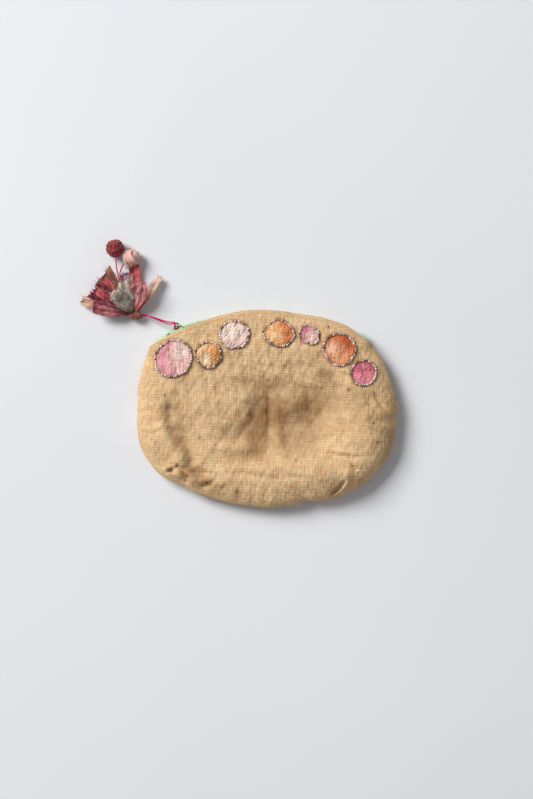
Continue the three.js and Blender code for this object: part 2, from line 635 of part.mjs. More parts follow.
const THREAD_RED = 0xb01f55;
const LOOP_AT = fromZip(SLIDER_AT, BRIDGE_AT, strapMiddle, 0);
const FLOWER_AT = LOOP_AT.clone().setZ(FLOWER_Z);
FLOWER_AT.x += FLOWER_FROM_LOOP.x;
FLOWER_AT.y += FLOWER_FROM_LOOP.y;
const RED_BUD_AT = FLOWER_AT.clone().add(RED_BUD_FROM_FLOWER);
const PEACH_BUD_AT = FLOWER_AT.clone().add(PEACH_BUD_FROM_FLOWER);
const loop = new THREE.TorusGeometry(LOOP_R, THREAD / 2, 8, 14).rotateY(rad(90 - LOOP_TILT));
add('thread_loop', bentOnZip(loop.translate(BRIDGE_AT, strapMiddle, 0), SLIDER_AT), THREAD_RED);

// A point at a distance from the flower's base; its rise flattens outwards.
const flatten = (distance) => 1 - 0.5 * distance / 40;
function fromFlower(azimuth, rise, distance) {
  const [a, e] = [rad(azimuth), rad(rise * flatten(distance))];
  return new THREE.Vector3(Math.cos(a) * Math.cos(e), Math.sin(a) * Math.cos(e), Math.sin(e))
    .multiplyScalar(distance).add(FLOWER_AT);
}

// The channel the threads take through the binding and out between the petals.
const THREAD_AZIMUTH = 111;
const THREAD_RISE = 24;
const channelIn = [6.8, 2.6].map((x) => FLOWER_AT.clone().add(new THREE.Vector3(x, 0.1, 0.1)));
const channelOut = [2.6, 7, 15, 24, 31].map((d) => fromFlower(THREAD_AZIMUTH, THREAD_RISE, d));
const channelMiddle = FLOWER_AT.clone().add(new THREE.Vector3(0.15, 0.4, 0.2));

function threadPoints(side, before, after) {
  const sideways = new THREE.Vector3(-Math.sin(rad(THREAD_AZIMUTH)), Math.cos(rad(THREAD_AZIMUTH)), 0);
  const apart = (p, direction) => p.clone().addScaledVector(direction, side * THREAD_PITCH / 2);
  const upright = new THREE.Vector3(0, 0.5, 0.866);
  const leaning = upright.clone().add(new THREE.Vector3(-0.7, -0.9, 0)).normalize();
  const start = fromZip(SLIDER_AT, BRIDGE_AT, strapMiddle + LOOP_R + THREAD + LAYER_GAP, side * 0.7);
  return [
    start,
    ...before.map((p) => FLOWER_AT.clone().add(new THREE.Vector3(...p))),
    ...channelIn.map((p) => apart(p, upright)),
    apart(channelMiddle, leaning),
    ...channelOut.map((p) => apart(p, sideways)),
    ...after.map((p) => FLOWER_AT.clone().add(new THREE.Vector3(...p))),
  ];
}
add('thread_red', threadThrough(threadPoints(1,
  [[24.2, -6.2, 5.3], [20.5, -5.0, 4.0], [14.0, -2.4, 2.2], [9.9, -0.8, 1.2]],
  [[-12.8, 35.7, 6.8], [-13.3, 41.1, 4.3]]), 36), THREAD_RED);
add('thread_peach', threadThrough(threadPoints(-1,
  [[24.2, -4.4, 3.7], [20.5, -3.3, 2.3], [14.0, -0.8, 0.6], [9.9, -0.3, -0.2]],
  [[-8.9, 33.4, 6.2], [-7.6, 36.5, 3.7]]), 34), THREAD_RED);

const knob = new THREE.SphereGeometry(BINDING_R, 14, 10);
const boreShape = new THREE.Shape(Array.from({ length: 8 }, (_, k) => new THREE.Vector2(
  BINDING_BORE_R * Math.cos(k * Math.PI / 4), BINDING_BORE_R * Math.sin(k * Math.PI / 4))));
const borePath = new THREE.CatmullRomCurve3([...channelIn, channelMiddle, ...channelOut.slice(0, 2)]);
const boreWay = { steps: 7, extrudePath: borePath, bevelEnabled: false };
const bore = new THREE.ExtrudeGeometry(boreShape, boreWay);
knob.translate(FLOWER_AT.x, FLOWER_AT.y, FLOWER_AT.z);
add('flower_binding', geometryOf(solid(knob).subtract(solid(bore))), 0x82463a);

// Petals: direction about the flower's base, layer, length, half-width, twist and how far the edges curl
const LAYERS = [-3, 12, 36, 50];
const PETALS = [
  { name: 'rose', azimuth: 176, layer: 0, length: 30, half: 4.6, curl: 0.2, colour: 0x964b55 },
  { name: 'tan', azimuth: 163, layer: 1, length: 39, half: 4.2, curl: 0.25, colour: 0xbe8c78 },
  { name: 'plum', azimuth: 153, layer: 0, length: 38, half: 2.8, twist: 10, curl: -0.1, colour: 0x781e37 },
  { name: 'crimson', azimuth: 147, layer: 2, length: 36, half: 3.2, curl: 0.2, colour: 0xc8283c },
  { name: 'wine', azimuth: 140, layer: 1, length: 37, half: 3.4, curl: 0.2, colour: 0x6e2332 },
  { name: 'coral', azimuth: 128, layer: 0, length: 37, half: 4.8, curl: 0.2, colour: 0xb9555a },
  { name: 'brown', azimuth: 119, layer: 1, length: 38, half: 2.6, twist: 65, curl: 0, colour: 0x6e372d },
  { name: 'sage_left', azimuth: 131, layer: 3, length: 27, half: 5.6, curl: -0.2, colour: 0x96917d },
  { name: 'mauve', azimuth: 104, layer: 0, length: 31, half: 4.2, curl: 0.2, colour: 0xbea0b4 },
  { name: 'sage_right', azimuth: 106, layer: 2, length: 27, half: 5.6, curl: -0.2, colour: 0x96917d },
  { name: 'red', azimuth: 93, layer: 1, length: 31, half: 4.2, curl: 0.2, colour: 0xcd555a },
  { name: 'pink', azimuth: 79, layer: 0, length: 26, half: 4.6, curl: 0.25, colour: 0xbe5a5f },
  { name: 'salmon', azimuth: 58, layer: 1, length: 32, half: 3.4, twist: 60, curl: 0, colour: 0xe19682 },
];

function petalSurface(petal) {
  return (u, v) => {
    const distance = mix(PETAL_FROM, petal.length, v);
    const centre = fromFlower(petal.azimuth, LAYERS[petal.layer], distance);
    const ahead = centre.clone().sub(FLOWER_AT).normalize();
    const level = new THREE.Vector3(Math.sin(rad(petal.azimuth)), -Math.cos(rad(petal.azimuth)), 0);
    const side = level.applyAxisAngle(ahead, -rad(petal.twist ?? 0) * smooth((distance - 6) / 16));
    const face = side.clone().cross(ahead).normalize();
    const narrowing = 1 - 0.25 * smooth((v - 0.8) / 0.2);
    const width = mix(PETAL_BASE_HALF, petal.half, smooth(v / 0.75)) * narrowing;
    const across = 2 * u - 1;
    const curled = petal.curl * width * across ** 2 * smooth(v / 0.5);
    return centre.addScaledVector(side, across * width).addScaledVector(face, curled);
  };
}
for (const petal of PETALS) {
  add('petal_' + petal.name, sheetOn(petalSurface(petal), 4, 4, PETAL), petal.colour);
}

// The red bud is knobbly all over; the peach one is a wrapped ball pinched at its base.
function bud(centre, shapeAt) {
  const geometry = new THREE.SphereGeometry(1, 14, 10);
  const position = geometry.attributes.position;
  for (let i = 0; i < position.count; i++) {
    const way = new THREE.Vector3().fromBufferAttribute(position, i).normalize();
    const p = way.clone().multiplyScalar(shapeAt(way)).add(centre);
    position.setXYZ(i, p.x, p.y, p.z);
  }
  return geometry;
}
add('bud_red', bud(RED_BUD_AT, (way) =>
  BUD_R * (1 - 0.03 * (1 - Math.cos(7 * Math.atan2(way.y, way.x))) * (1 - way.z ** 2))), 0xc33a4e);
add('bud_peach', bud(PEACH_BUD_AT, (way) =>
  BUD_R * (1 - 0.05 * (1 - Math.abs(way.x)) * Math.max(0, -way.y))), 0xe8ae94);

const pouch = new THREE.Group();
for (const { name, geometry, colour, roughness, metalness } of bodies) {
  const material = new THREE.MeshStandardMaterial({ color: colour, roughness, metalness });
  const mesh = new THREE.Mesh(geometry.translate(0, TO_ORIGIN_Y, 0), material);
  mesh.name = name;
  pouch.add(mesh);
}
export default pouch;
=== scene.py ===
import math

import bpy
import numpy as np
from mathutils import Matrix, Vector


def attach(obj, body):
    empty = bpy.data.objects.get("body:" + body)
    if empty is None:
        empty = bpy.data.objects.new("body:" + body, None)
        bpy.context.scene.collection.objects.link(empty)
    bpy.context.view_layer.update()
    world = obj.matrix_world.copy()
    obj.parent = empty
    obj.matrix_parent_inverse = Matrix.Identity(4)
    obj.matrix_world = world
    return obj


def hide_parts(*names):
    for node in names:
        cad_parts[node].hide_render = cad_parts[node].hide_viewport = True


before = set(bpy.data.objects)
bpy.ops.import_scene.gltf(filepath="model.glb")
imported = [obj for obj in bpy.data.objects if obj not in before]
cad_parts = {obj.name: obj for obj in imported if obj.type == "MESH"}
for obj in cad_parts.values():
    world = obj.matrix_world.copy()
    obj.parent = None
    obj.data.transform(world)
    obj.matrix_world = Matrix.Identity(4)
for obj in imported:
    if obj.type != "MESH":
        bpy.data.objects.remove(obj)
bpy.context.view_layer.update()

# A small zip pouch in tan linen, lying on its back. Seven silk dots edged with seed beads run below its
# curved zip, and the slider's thread carries a cloth flower with a knotted berry and a wrapped bud.
# Shapes are worked out in millimetres in the pouch's own frame, and put() sets them into the shared frame.

MM = 0.001
TO_ORIGIN = np.array([0, -1.1, 0])
UP = np.array([0, 0, 1.0])

# millimetres to a pixel of the picture, its height in pixels, the point under the camera, and the lens
PIXEL, PICTURE_HEIGHT, LENS = 0.7, 799, 85
LOOKED_AT = (0.0005, 0.00555, 0.010)
# each lamp's size, power and place in metres
LAMPS = {"window": (1.7, 145, (-2.2, 1.66, 2.476)), "fill": (1.1, 0.4, (0.75, -0.25, 0.8))}
ROOM, ROOM_STRENGTH, BACKDROP = (0.95, 0.965, 1.0, 1), 0.24, (0.80, 0.81, 0.84, 1)
TABLE_HALF = 3

# the panels
WIDTH, HEIGHT = 181, 133.6
LINEN, LINING, LINING_GAP = 0.9, 0.6, 0.5
HEM, SLACK = 8, 0.7
SEAM_Z, SEAM_GAP = 7.5, 0.1
CENTRE_Z, CREST_Z, CREST_TILT = 13, 18.5, 2.5
CREST_TOWARDS = math.radians(-50)
RIM, SAG, HEEL = 20, 38, 16

# the zip: angles are in degrees about its arc's middle, from straight up
ZIP_MIDDLE = np.array([-2.6, -83.3])
ZIP_EDGE_R, ZIP_R, ZIP_Z = 149.5, 150.2, 8.0
ZIP_TILT = math.radians(35)
MOUTH, MOUTH_FADE = (-31.247, 29.037), 3
FRONT_HEM_Z, BACK_HEM_Z = 12.4, 2.6
ROW = (-25.754, 25.945)
SLIDER_AT, BRIDGE_AT, STRAP_MIDDLE = -23.447, 1.3, 4.1
TAPE, TAPE_EDGE, HEM_OVER_TAPE = 0.55, 1.7, 6
COIL_PITCH, COIL_MIDDLE, COIL_REACH, COIL_DEPTH, WIRE_R, CORD_R = 1.3, 0.72, 1.12, 0.43, 0.26, 0.24
STOP_LENGTH, STOP_DEPTH = 2.4, 0.95

# the pull
THREAD, WORN_THREAD, PLY_APART, THREAD_STATIONS, THREAD_TWISTS = 0.8, 0.95, 0.65, 420, 70
LOOP_R, LOOP_THICK, LOOP_LEAN, LOOP_TWISTS = 1.9, 0.58, math.radians(-55), 5
FLOWER_AT = np.array([-91.779, 65.703, 5.0])
RED_BUD_AT = np.array([-105.88, 112.70, 6.5])
PEACH_BUD_AT = np.array([-94.28, 106.10, 6.5])
BUD_R, KNOT_R, YARN_R, PETAL = 6.3, 0.62, 0.42, 0.3


# Camera, light and floor

def aimed(name, data, where, at=(0, 0, 0.01)):
    """An object at a place, its -Z axis towards a point."""
    holder = bpy.data.objects.new(name, data)
    bpy.context.scene.collection.objects.link(holder)
    holder.location = where
    holder.rotation_euler = (Vector(where) - Vector(at)).to_track_quat("Z", "Y").to_euler()
    return holder


def place_camera():
    """Straight above the pouch, as high as it takes for a pixel to see 0.7 mm."""
    camera = bpy.data.cameras.new("camera")
    camera.lens = LENS
    above = PICTURE_HEIGHT * PIXEL * MM * camera.lens / camera.sensor_width
    x, y, z = LOOKED_AT
    holder = aimed("camera", camera, (x, y, z + above))
    holder.rotation_euler = (0, 0, 0)
    bpy.context.scene.camera = holder


def place_lights():
    """A broad lamp far to the left, a weak one from the right and a pale world all round."""
    for name, (size, power, where) in LAMPS.items():
        lamp = bpy.data.lights.new(name, "AREA")
        lamp.size = size
        lamp.energy = power
        aimed(name, lamp, where)
    world = bpy.data.worlds.new("room")
    world.use_nodes = True
    tree = world.node_tree
    room = tree.nodes["Background"]
    room.inputs["Color"].default_value = ROOM
    room.inputs["Strength"].default_value = ROOM_STRENGTH
    backdrop = tree.nodes.new("ShaderNodeBackground")
    backdrop.inputs["Color"].default_value = BACKDROP
    seen = tree.nodes.new("ShaderNodeLightPath")
    either = tree.nodes.new("ShaderNodeMixShader")
    tree.links.new(seen.outputs["Is Camera Ray"], either.inputs[0])
    tree.links.new(room.outputs[0], either.inputs[1])
    tree.links.new(backdrop.outputs[0], either.inputs[2])
    tree.links.new(either.outputs[0], tree.nodes["World Output"].inputs["Surface"])
    bpy.context.scene.world = world
    bpy.context.scene.view_settings.view_transform = "Standard"


# Node materials

def srgb(red, green, blue):
    """A screen colour of 0 to 255 as the linear colour of a socket."""
    share = np.array([red, green, blue]) / 255
    linear = np.where(share <= 0.04045, share / 12.92, ((share + 0.055) / 1.055) ** 2.4)
    return (*map(float, linear), 1.0)


class Finish:
    """A node material put together step by step. A value is a number, a colour or another node's output."""

    def __init__(self, name, **sockets):
        self.material = bpy.data.materials.new(name)
        self.material.use_nodes = True
        self.tree = self.material.node_tree
        self.surface = self.tree.nodes["Principled BSDF"]
        for socket, value in sockets.items():
            self.surface_set(socket, value)

    def surface_set(self, socket, value):
        """A socket of the shader itself, whose name has underscores for spaces."""
        self.put(self.surface.inputs[socket.replace("_", " ")], value)

    def put(self, socket, value):
        """Links another node's output to a socket, or sets its value."""
        if isinstance(value, bpy.types.NodeSocket):
            self.tree.links.new(value, socket)
        else:
            socket.default_value = value

    def node(self, kind, values, output=0, **settings):
        """Adds a node, and returns one of its outputs."""
        made = self.tree.nodes.new("ShaderNode" + kind)
        for key, value in settings.items():
            setattr(made, key, value)
        for socket, value in values.items():
            self.put(made.inputs[socket], value)
        return made.outputs[output]

    def place(self):
        """Where the surface is, in metres in the piece's own frame."""
        return self.node("TexCoord", {}, "Object")

    def cloth(self):
        """Where the surface is on its cloth, in metres."""
        return self.node("UVMap", {})

    def shade(self, name):
        """A number that put() has set on the mesh's points."""
        return self.node("Attribute", {}, "Fac", attribute_name=name)

    def maths(self, operation, a, b=0.0):
        return self.node("Math", {0: a, 1: b}, operation=operation)

    def vector(self, operation, a, b):
        return self.node("VectorMath", {0: a, 1: b}, operation=operation)

    def noise(self, where, scale, detail=3.0, output="Fac", **more):
        """Soft unevenness of a scale: so many blotches to the metre."""
        values = {"Vector": where, "Scale": scale, "Detail": detail}
        values.update({key.capitalize(): value for key, value in more.items()})
        return self.node("TexNoise", values, output)

    def mix(self, share, a, b, way="MIX"):
        return self.node("Mix", {0: share, 6: a, 7: b}, 2, data_type="RGBA", blend_type=way)

    def between(self, value, low, high, to_low=0.0, to_high=1.0):
        """A value's range drawn onto another, and held at its ends."""
        return self.node("MapRange", {0: value, 1: low, 2: high, 3: to_low, 4: to_high})

    def bump(self, height, distance, normal=None):
        """The normal of a surface that a height raises by up to a distance in metres."""
        values = {"Height": height, "Distance": distance}
        if normal is not None:
            values["Normal"] = normal
        return self.node("Bump", values)

    def done(self, colour, normal=None):
        """Sets the colour and the normal, and returns the material."""
        self.surface_set("Base_Color", colour)
        if normal is not None:
            self.surface_set("Normal", normal)
        return self.material


def plain_weave(f, pitch, wander=0.25):
    """Threads over and under each other: the product of a sine across and a sine along says which one is on
    top, and each is a rounded ridge. pitch is in metres, and wander, in millimetres, is how far a thread
    strays. Returns the height, the unevenness of warp and of weft, and which is on top."""
    bent = f.noise(f.cloth(), 260.0, 2.0, "Color")
    bent = f.vector("MULTIPLY", f.vector("SUBTRACT", bent, (0.5, 0.5, 0.5)), (wander * 0.002,) * 3)
    split = f.tree.nodes.new("ShaderNodeSeparateXYZ")
    f.put(split.inputs[0], f.vector("ADD", f.cloth(), bent))
    waves = [f.maths("SINE", f.maths("MULTIPLY", split.outputs[n], math.pi / pitch)) for n in (0, 1)]
    ridges = [f.maths("ABSOLUTE", wave) for wave in waves]
    over = f.maths("GREATER_THAN", f.maths("MULTIPLY", *waves), 0.0)
    lifted = [f.maths("MULTIPLY", ridges[n], f.between(ridges[1 - n], 0.0, 1.0, 0.5, 1.0)) for n in (0, 1)]
    height = f.node("Mix", {0: over, 2: lifted[0], 3: lifted[1]})
    thin, long = 0.85 / pitch, 170.0
    streaks = [f.noise(f.vector("MULTIPLY", f.cloth(), scale), 1.0, 2.0)
               for scale in ((thin, long, 1.0), (long, thin, 1.0))]
    return height, streaks[0], streaks[1], over


# Meshes worked out as whole arrays

def unit(vectors):
    """Vectors of length 1: each divided by its own length."""
    return vectors / np.linalg.norm(vectors, axis=-1, keepdims=True)


def smooth(t):
    """A soft step from 0 to 1: 3t^2 - 2t^3, flat outside."""
    t = np.clip(t, 0, 1)
    return t * t * (3 - 2 * t)


def quads(rows, columns, wrap_rows=False, wrap_columns=False):
    """The faces between neighbours of a grid of points numbered row by row."""
    i, j = np.meshgrid(np.arange(rows - (not wrap_rows)), np.arange(columns - (not wrap_columns)),
                       indexing="ij")
    i, j = i.ravel(), j.ravel()
    after, beside = (i + 1) % rows, (j + 1) % columns
    return np.stack([i * columns + j, after * columns + j,
                     after * columns + beside, i * columns + beside], -1)


def copies(one, size, count):
    """The faces of shells that are alike and follow each other, with size points in each."""
    return (one[None] + (np.arange(count) * size)[:, None, None]).reshape(-1, one.shape[1])


def fan(middle, ring, reverse=False):
    """Triangles from a middle point to a closed ring of points."""
    beside = np.roll(ring, -1)
    pair = (beside, ring) if reverse else (ring, beside)
    return np.stack([np.full(len(ring), middle), *pair], -1)


def capped(stations, sides):
    """The faces of a closed tube of stations and sides whose two end middles follow its points."""
    body = stations * sides
    ring = np.arange(sides)
    return [quads(stations, sides, False, True), fan(body, ring), fan(body + 1, body - sides + ring, True)]


def joined(shells):
    """Several closed shells, each points and faces, as one."""
    points, faces, start = [], [], 0
    for shell_points, shell_faces in shells:
        points.append(shell_points)
        faces += [part + start for part in shell_faces]
        start += len(shell_points)
    return np.concatenate(points), faces


def volume(points, faces):
    """Six times the signed volume of a closed mesh."""
    total = 0.0
    for part in faces:
        for k in range(1, part.shape[1] - 1):
            a, b, c = points[part[:, 0]], points[part[:, k]], points[part[:, k + 1]]
            total += float((a * np.cross(b, c)).sum())
    return total


def put(name, body, shell, finish, slot, nodes=(), cloth=None, **shades):
    """A piece from a shell in millimetres: its faces turned outwards, its cloth in metres, and its shades as
    numbers on its points."""
    points, faces = shell
    if volume(points, faces) < 0:
        faces = [part[:, ::-1] for part in faces]
    mesh = bpy.data.meshes.new(name)
    mesh.vertices.add(len(points))
    mesh.vertices.foreach_set("co", ((points + TO_ORIGIN) * MM).astype(np.float32).ravel())
    corners = np.concatenate([part.ravel() for part in faces]).astype(np.int32)
    sizes = np.concatenate([np.full(len(part), part.shape[1]) for part in faces])
    mesh.loops.add(len(corners))
    mesh.loops.foreach_set("vertex_index", corners)
    mesh.polygons.add(len(sizes))
    mesh.polygons.foreach_set("loop_start", (np.cumsum(sizes) - sizes).astype(np.int32))
    mesh.polygons.foreach_set("use_smooth", np.ones(len(sizes), bool))
    if cloth is not None:
        layer = mesh.uv_layers.new(name="UVMap")
        layer.data.foreach_set("uv", (cloth[corners] * MM).astype(np.float32).ravel())
    for shade, values in shades.items():
        attribute = mesh.attributes.new(shade, "FLOAT", "POINT")
        attribute.data.foreach_set("value", values.astype(np.float32))
    mesh.update(calc_edges=True)
    mesh.validate()
    mesh.materials.append(finish)
    holder = bpy.data.objects.new(name, mesh)
    bpy.context.scene.collection.objects.link(holder)
    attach(holder, body)
    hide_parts(*nodes)
    return holder


def carried(path, upright, across, above):
    """An outline carried along a path: at each station its points lie across (square to the path and to
    upright) and above."""
    ahead = unit(np.gradient(path, axis=0))
    side = unit(np.cross(ahead, upright))
    up = np.cross(side, ahead)
    return path[:, None] + side[:, None] * across[..., None] + up[:, None] * above[..., None]


def tube(path, upright, radius, sides, profile=None):
    """A closed tube: radius times profile(station, angle) all round the path, with a middle point at each
    end."""
    angle = np.arange(sides) / sides * 2 * np.pi
    reach_out = np.broadcast_to(np.reshape(radius, (-1, 1)), (len(path), sides))
    if profile is not None:
        reach_out = reach_out * profile(np.arange(len(path))[:, None], angle[None])
    ring = carried(path, upright, reach_out * np.cos(angle), reach_out * np.sin(angle))
    return np.concatenate([ring.reshape(-1, 3), path[:1], path[-1:]]), capped(len(path), sides)


def ripple(x, y, wavelength, seed, waves=9):
    """Soft unevenness, mostly between -1 and 1: a sum of sine waves of about one length in fixed random
    directions."""
    draw = np.random.default_rng(seed)
    turns, starts = draw.uniform(0, np.pi, waves), draw.uniform(0, 7, waves)
    total = np.zeros(np.shape(x))
    for turn, start, stretch in zip(turns, starts, draw.uniform(0.75, 1.4, waves)):
        run = x * math.cos(turn) + y * math.sin(turn)
        total += np.sin(2 * np.pi * stretch / wavelength * run + start)
    return total / math.sqrt(2 * waves)


def squared(wave, power):
    """A sine or cosine raised to a power below 1 with its sign kept, which squares off an ellipse."""
    return np.sign(wave) * np.abs(wave) ** power


def polar(radius, theta, z):
    """Points at a distance and an angle about the pouch's middle, and at a height."""
    return np.stack(np.broadcast_arrays(radius * np.cos(theta), radius * np.sin(theta), z), -1)


# The zip's own frame: x along it, y out of its face, z across it towards the front panel

def on_zip(angle, radius, height):
    """Points at an angle and a radius about the middle of the zip's arc, and at a height."""
    turn = np.radians(angle)
    return np.stack(np.broadcast_arrays(
        ZIP_MIDDLE[0] + radius * np.sin(turn), ZIP_MIDDLE[1] + radius * np.cos(turn), height), -1)


def section(y, z):
    """Radius and height of a place in the zip's section, which is turned by its tilt."""
    return (ZIP_R + y * math.cos(ZIP_TILT) - z * math.sin(ZIP_TILT),
            ZIP_Z + y * math.sin(ZIP_TILT) + z * math.cos(ZIP_TILT))


def from_zip(angle, x, y, z):
    """A point of the zip's frame bent onto its arc."""
    return on_zip(angle + np.degrees(x / ZIP_R), *section(y, z))


# The pull's threads, on the same route as in the frame

THREAD_AZIMUTH, THREAD_RISE, HALF_RISE_AT = 111, 24, 40
# side of the loop, points between the slider and the flower, and points between the petals and the bud
THREADS = {
    "red": (1, [[24.2, -6.2, 5.3], [20.5, -5.0, 4.0], [14.0, -2.4, 2.2], [9.9, -0.8, 1.2]],
            [[-12.8, 35.7, 6.8], [-13.3, 41.1, 4.3]]),
    "peach": (-1, [[24.2, -4.7, 3.7], [20.5, -3.9, 2.3], [14.0, -1.7, 0.6], [9.9, -0.6, -0.2]],
              [[-8.9, 33.4, 6.2], [-7.6, 36.5, 3.7]]),
}


def from_flower(azimuth, rise, distance):
    """A point at a distance from the flower's base; its rise flattens outwards."""
    a, e = np.radians(azimuth), np.radians(rise * (1 - 0.5 * distance / HALF_RISE_AT))
    way = np.stack(np.broadcast_arrays(np.cos(a) * np.cos(e), np.sin(a) * np.cos(e), np.sin(e)), -1)
    return FLOWER_AT + way * np.asarray(distance)[..., None]


def spline(points, count):
    """A centripetal Catmull-Rom curve through the points, evenly spaced."""
    p = np.concatenate([[2 * points[0] - points[1]], points, [2 * points[-1] - points[-2]]])
    fine = []
    for k in range(1, len(p) - 2):
        step = np.maximum(np.linalg.norm(np.diff(p[k - 1:k + 3], axis=0), axis=1) ** 0.5, 1e-4)
        knot = np.concatenate([[0], np.cumsum(step)])
        t = np.linspace(knot[1], knot[2], 40, endpoint=k == len(p) - 3)[:, None]

        def between(a, b, i, j):
            return (knot[j] - t) / (knot[j] - knot[i]) * a + (t - knot[i]) / (knot[j] - knot[i]) * b

        first = [between(p[k - 1 + n], p[k + n], n, n + 1) for n in range(3)]
        second = [between(first[n], first[n + 1], n, n + 2) for n in range(2)]
        fine.append(between(second[0], second[1], 1, 2))
    fine = np.concatenate(fine)
    run = np.concatenate([[0], np.cumsum(np.linalg.norm(np.diff(fine, axis=0), axis=1))])
    even = np.linspace(0, run[-1], count)
    return np.stack([np.interp(even, run, fine[:, n]) for n in range(3)], -1), run[-1]


def thread_route(side, before, after):
    """From the slider's loop through the wrapping of the flower and out between its petals to a bud."""
    turn = math.radians(THREAD_AZIMUTH)
    apart = side * PLY_APART * np.array([[0, 0.5, 0.866], [-math.sin(turn), math.cos(turn), 0]])
    leaning = side * PLY_APART * unit(np.array([-0.7, -0.4, 0.866]))
    start = from_zip(SLIDER_AT, BRIDGE_AT, STRAP_MIDDLE + 1.6 + THREAD + 0.3, side * 0.7)
    inwards = [FLOWER_AT + [x, 0.1, 0.1] + apart[0] for x in (6.8, 2.6)]
    outwards = [from_flower(THREAD_AZIMUTH, THREAD_RISE, d) + apart[1] for d in (2.6, 7, 15, 24, 31)]
    points = [start, *(FLOWER_AT + before), *inwards, FLOWER_AT + [0.15, 0.4, 0.2] + leaning,
              *outwards, *(FLOWER_AT + after)]
    return spline(np.array(points), THREAD_STATIONS)


def twisted(turns):
    """Two plies twisted round each other: the thread is thinnest where they meet, and the meeting turns."""
    def profile(station, angle):
        return 1.0 - 0.2 * np.abs(np.cos(angle - station / THREAD_STATIONS * turns * np.pi)) ** 4

    return profile


def thread_finish():
    """Crimson cotton, lighter and darker along its fine fibres."""
    f = Finish("crimson cotton thread", Roughness=0.7, Specular_IOR_Level=0.2)
    fibres = f.noise(f.place(), 5200.0, 2.0)
    colour = f.mix(f.between(fibres, 0.3, 0.7), srgb(168, 6, 66), srgb(226, 30, 108))
    return f.done(colour, f.bump(fibres, 0.00015))


def make_threads():
    """The two threads of the pull, each a twisted tube along its route, and the loop that they start from."""
    finish = thread_finish()
    for name, (side, before, after) in THREADS.items():
        path, length = thread_route(side, np.array(before), np.array(after))
        shell = tube(path, UP, WORN_THREAD / 2, 10, twisted(THREAD_TWISTS))
        thread = put("pull_thread_" + name, "slider", shell, finish, "crimson_thread", ["thread_" + name])
    make_loop(finish)


def make_loop(finish):
    """A ring of twisted thread through the slider's bridge: a circle that leans over."""
    turn = np.linspace(0, 2 * np.pi, 61)[:-1]
    across = LOOP_R * np.sin(turn)
    path = from_zip(SLIDER_AT, BRIDGE_AT + across * math.sin(LOOP_LEAN), STRAP_MIDDLE + LOOP_R * np.cos(turn),
                    across * math.cos(LOOP_LEAN))
    ahead = unit(np.roll(path, -1, 0) - np.roll(path, 1, 0))
    out = unit(path - path.mean(0))
    side = np.cross(ahead, out)
    angle = np.arange(10) / 10 * 2 * np.pi
    plies = LOOP_THICK * (1 - 0.2 * np.abs(np.cos(angle[None] - turn[:, None] * LOOP_TWISTS)) ** 4)
    rings = (path[:, None] + out[:, None] * (plies * np.cos(angle))[..., None]
             + side[:, None] * (plies * np.sin(angle))[..., None])
    shell = rings.reshape(-1, 3), [quads(60, 10, True, True)]
    put("pull_loop", "slider", shell, finish, "crimson_thread", ["thread_loop"])


# The pouch

def ring_reach(given, phi):
    """Distances measured at some angles, joined all round by a smooth curve: a cubic between neighbours. A
    plain list has its distances at even steps round."""
    if not isinstance(given, dict):
        given = dict(zip(np.linspace(0, 360, len(given), endpoint=False), given))
    at = np.radians(sorted(given))
    size = np.array([given[a] for a in sorted(given)])
    at = np.concatenate([at[-2:] - 2 * np.pi, at, at[:2] + 2 * np.pi])
    size = np.concatenate([size[-2:], size, size[:2]])
    slope = np.gradient(size, at)
    phi = np.mod(phi, 2 * np.pi)
    k = np.clip(np.searchsorted(at, phi) - 1, 0, len(at) - 2)
    span = at[k + 1] - at[k]
    t = (phi - at[k]) / span
    return (size[k] * (1 + 2 * t) * (1 - t) ** 2 + slope[k] * span * t * (1 - t) ** 2
            + size[k + 1] * t ** 2 * (3 - 2 * t) + slope[k + 1] * span * t ** 2 * (t - 1))


def fullness(x, y):
    """Below 1 inside the outline: (|2x/W|^p + |2y/H|^p)^(1/p), with its own roundness p in each quarter."""
    power = np.where(y >= 0, np.where(x >= 0, 2.35, 3.0), np.where(x >= 0, 2.5, 2.3))
    return (np.abs(2 * x / WIDTH) ** power + np.abs(2 * y / HEIGHT) ** power) ** (1 / power)


# How far the worn linen edge wanders from the drawn outline, by angle about the middle. Along the top the
# folded edge hangs over the zip, and stays clear of it at the slider's end.
WANDER = {
    0: 1.0, 12: -0.7, 24: -0.2, 30: 0.1, 36: 0.9, 42: 3.2, 48: 4.2, 54: 3.9, 60: 3.6, 66: 2.9, 72: 2.3,
    78: 2.7, 90: 3.0, 102: 3.0, 108: 2.6, 114: 2.1, 120: 1.7, 126: 1.1, 132: 0.8, 138: 0.6, 146: 0.3,
    151: -0.2, 156: -1.2, 162: -1.5, 168: -0.8, 180: -0.6, 186: 0.2, 192: 1.1, 198: 1.9, 204: 1.8, 210: 2.0,
    216: 0.8, 220: -0.9, 224: -1.0, 228: -0.5, 240: 0.0, 252: 0.9, 264: 1.7, 270: 2.3, 276: 2.1, 284: 1.2,
    288: 0.7, 294: -1.2, 298: 0.2, 306: 1.2, 318: 1.4, 330: 0.8, 342: 1.4, 350: 0.7,
}


def reach(theta):
    """From the middle to the edge at an angle: the rounded outline cut by the zip's arc, and the wear."""
    c, s = np.cos(theta), np.sin(theta)
    towards = c * ZIP_MIDDLE[0] + s * ZIP_MIDDLE[1]
    arc = towards + np.sqrt(towards ** 2 - ZIP_MIDDLE @ ZIP_MIDDLE + ZIP_EDGE_R ** 2)
    return np.minimum(1 / fullness(c, s), arc) + ring_reach(WANDER, theta)


def zip_angle(theta):
    """Degrees along the zip of the edge at an angle about the middle of the pouch."""
    out = reach(theta)
    return np.degrees(np.arctan2(out * np.cos(theta) - ZIP_MIDDLE[0], out * np.sin(theta) - ZIP_MIDDLE[1]))


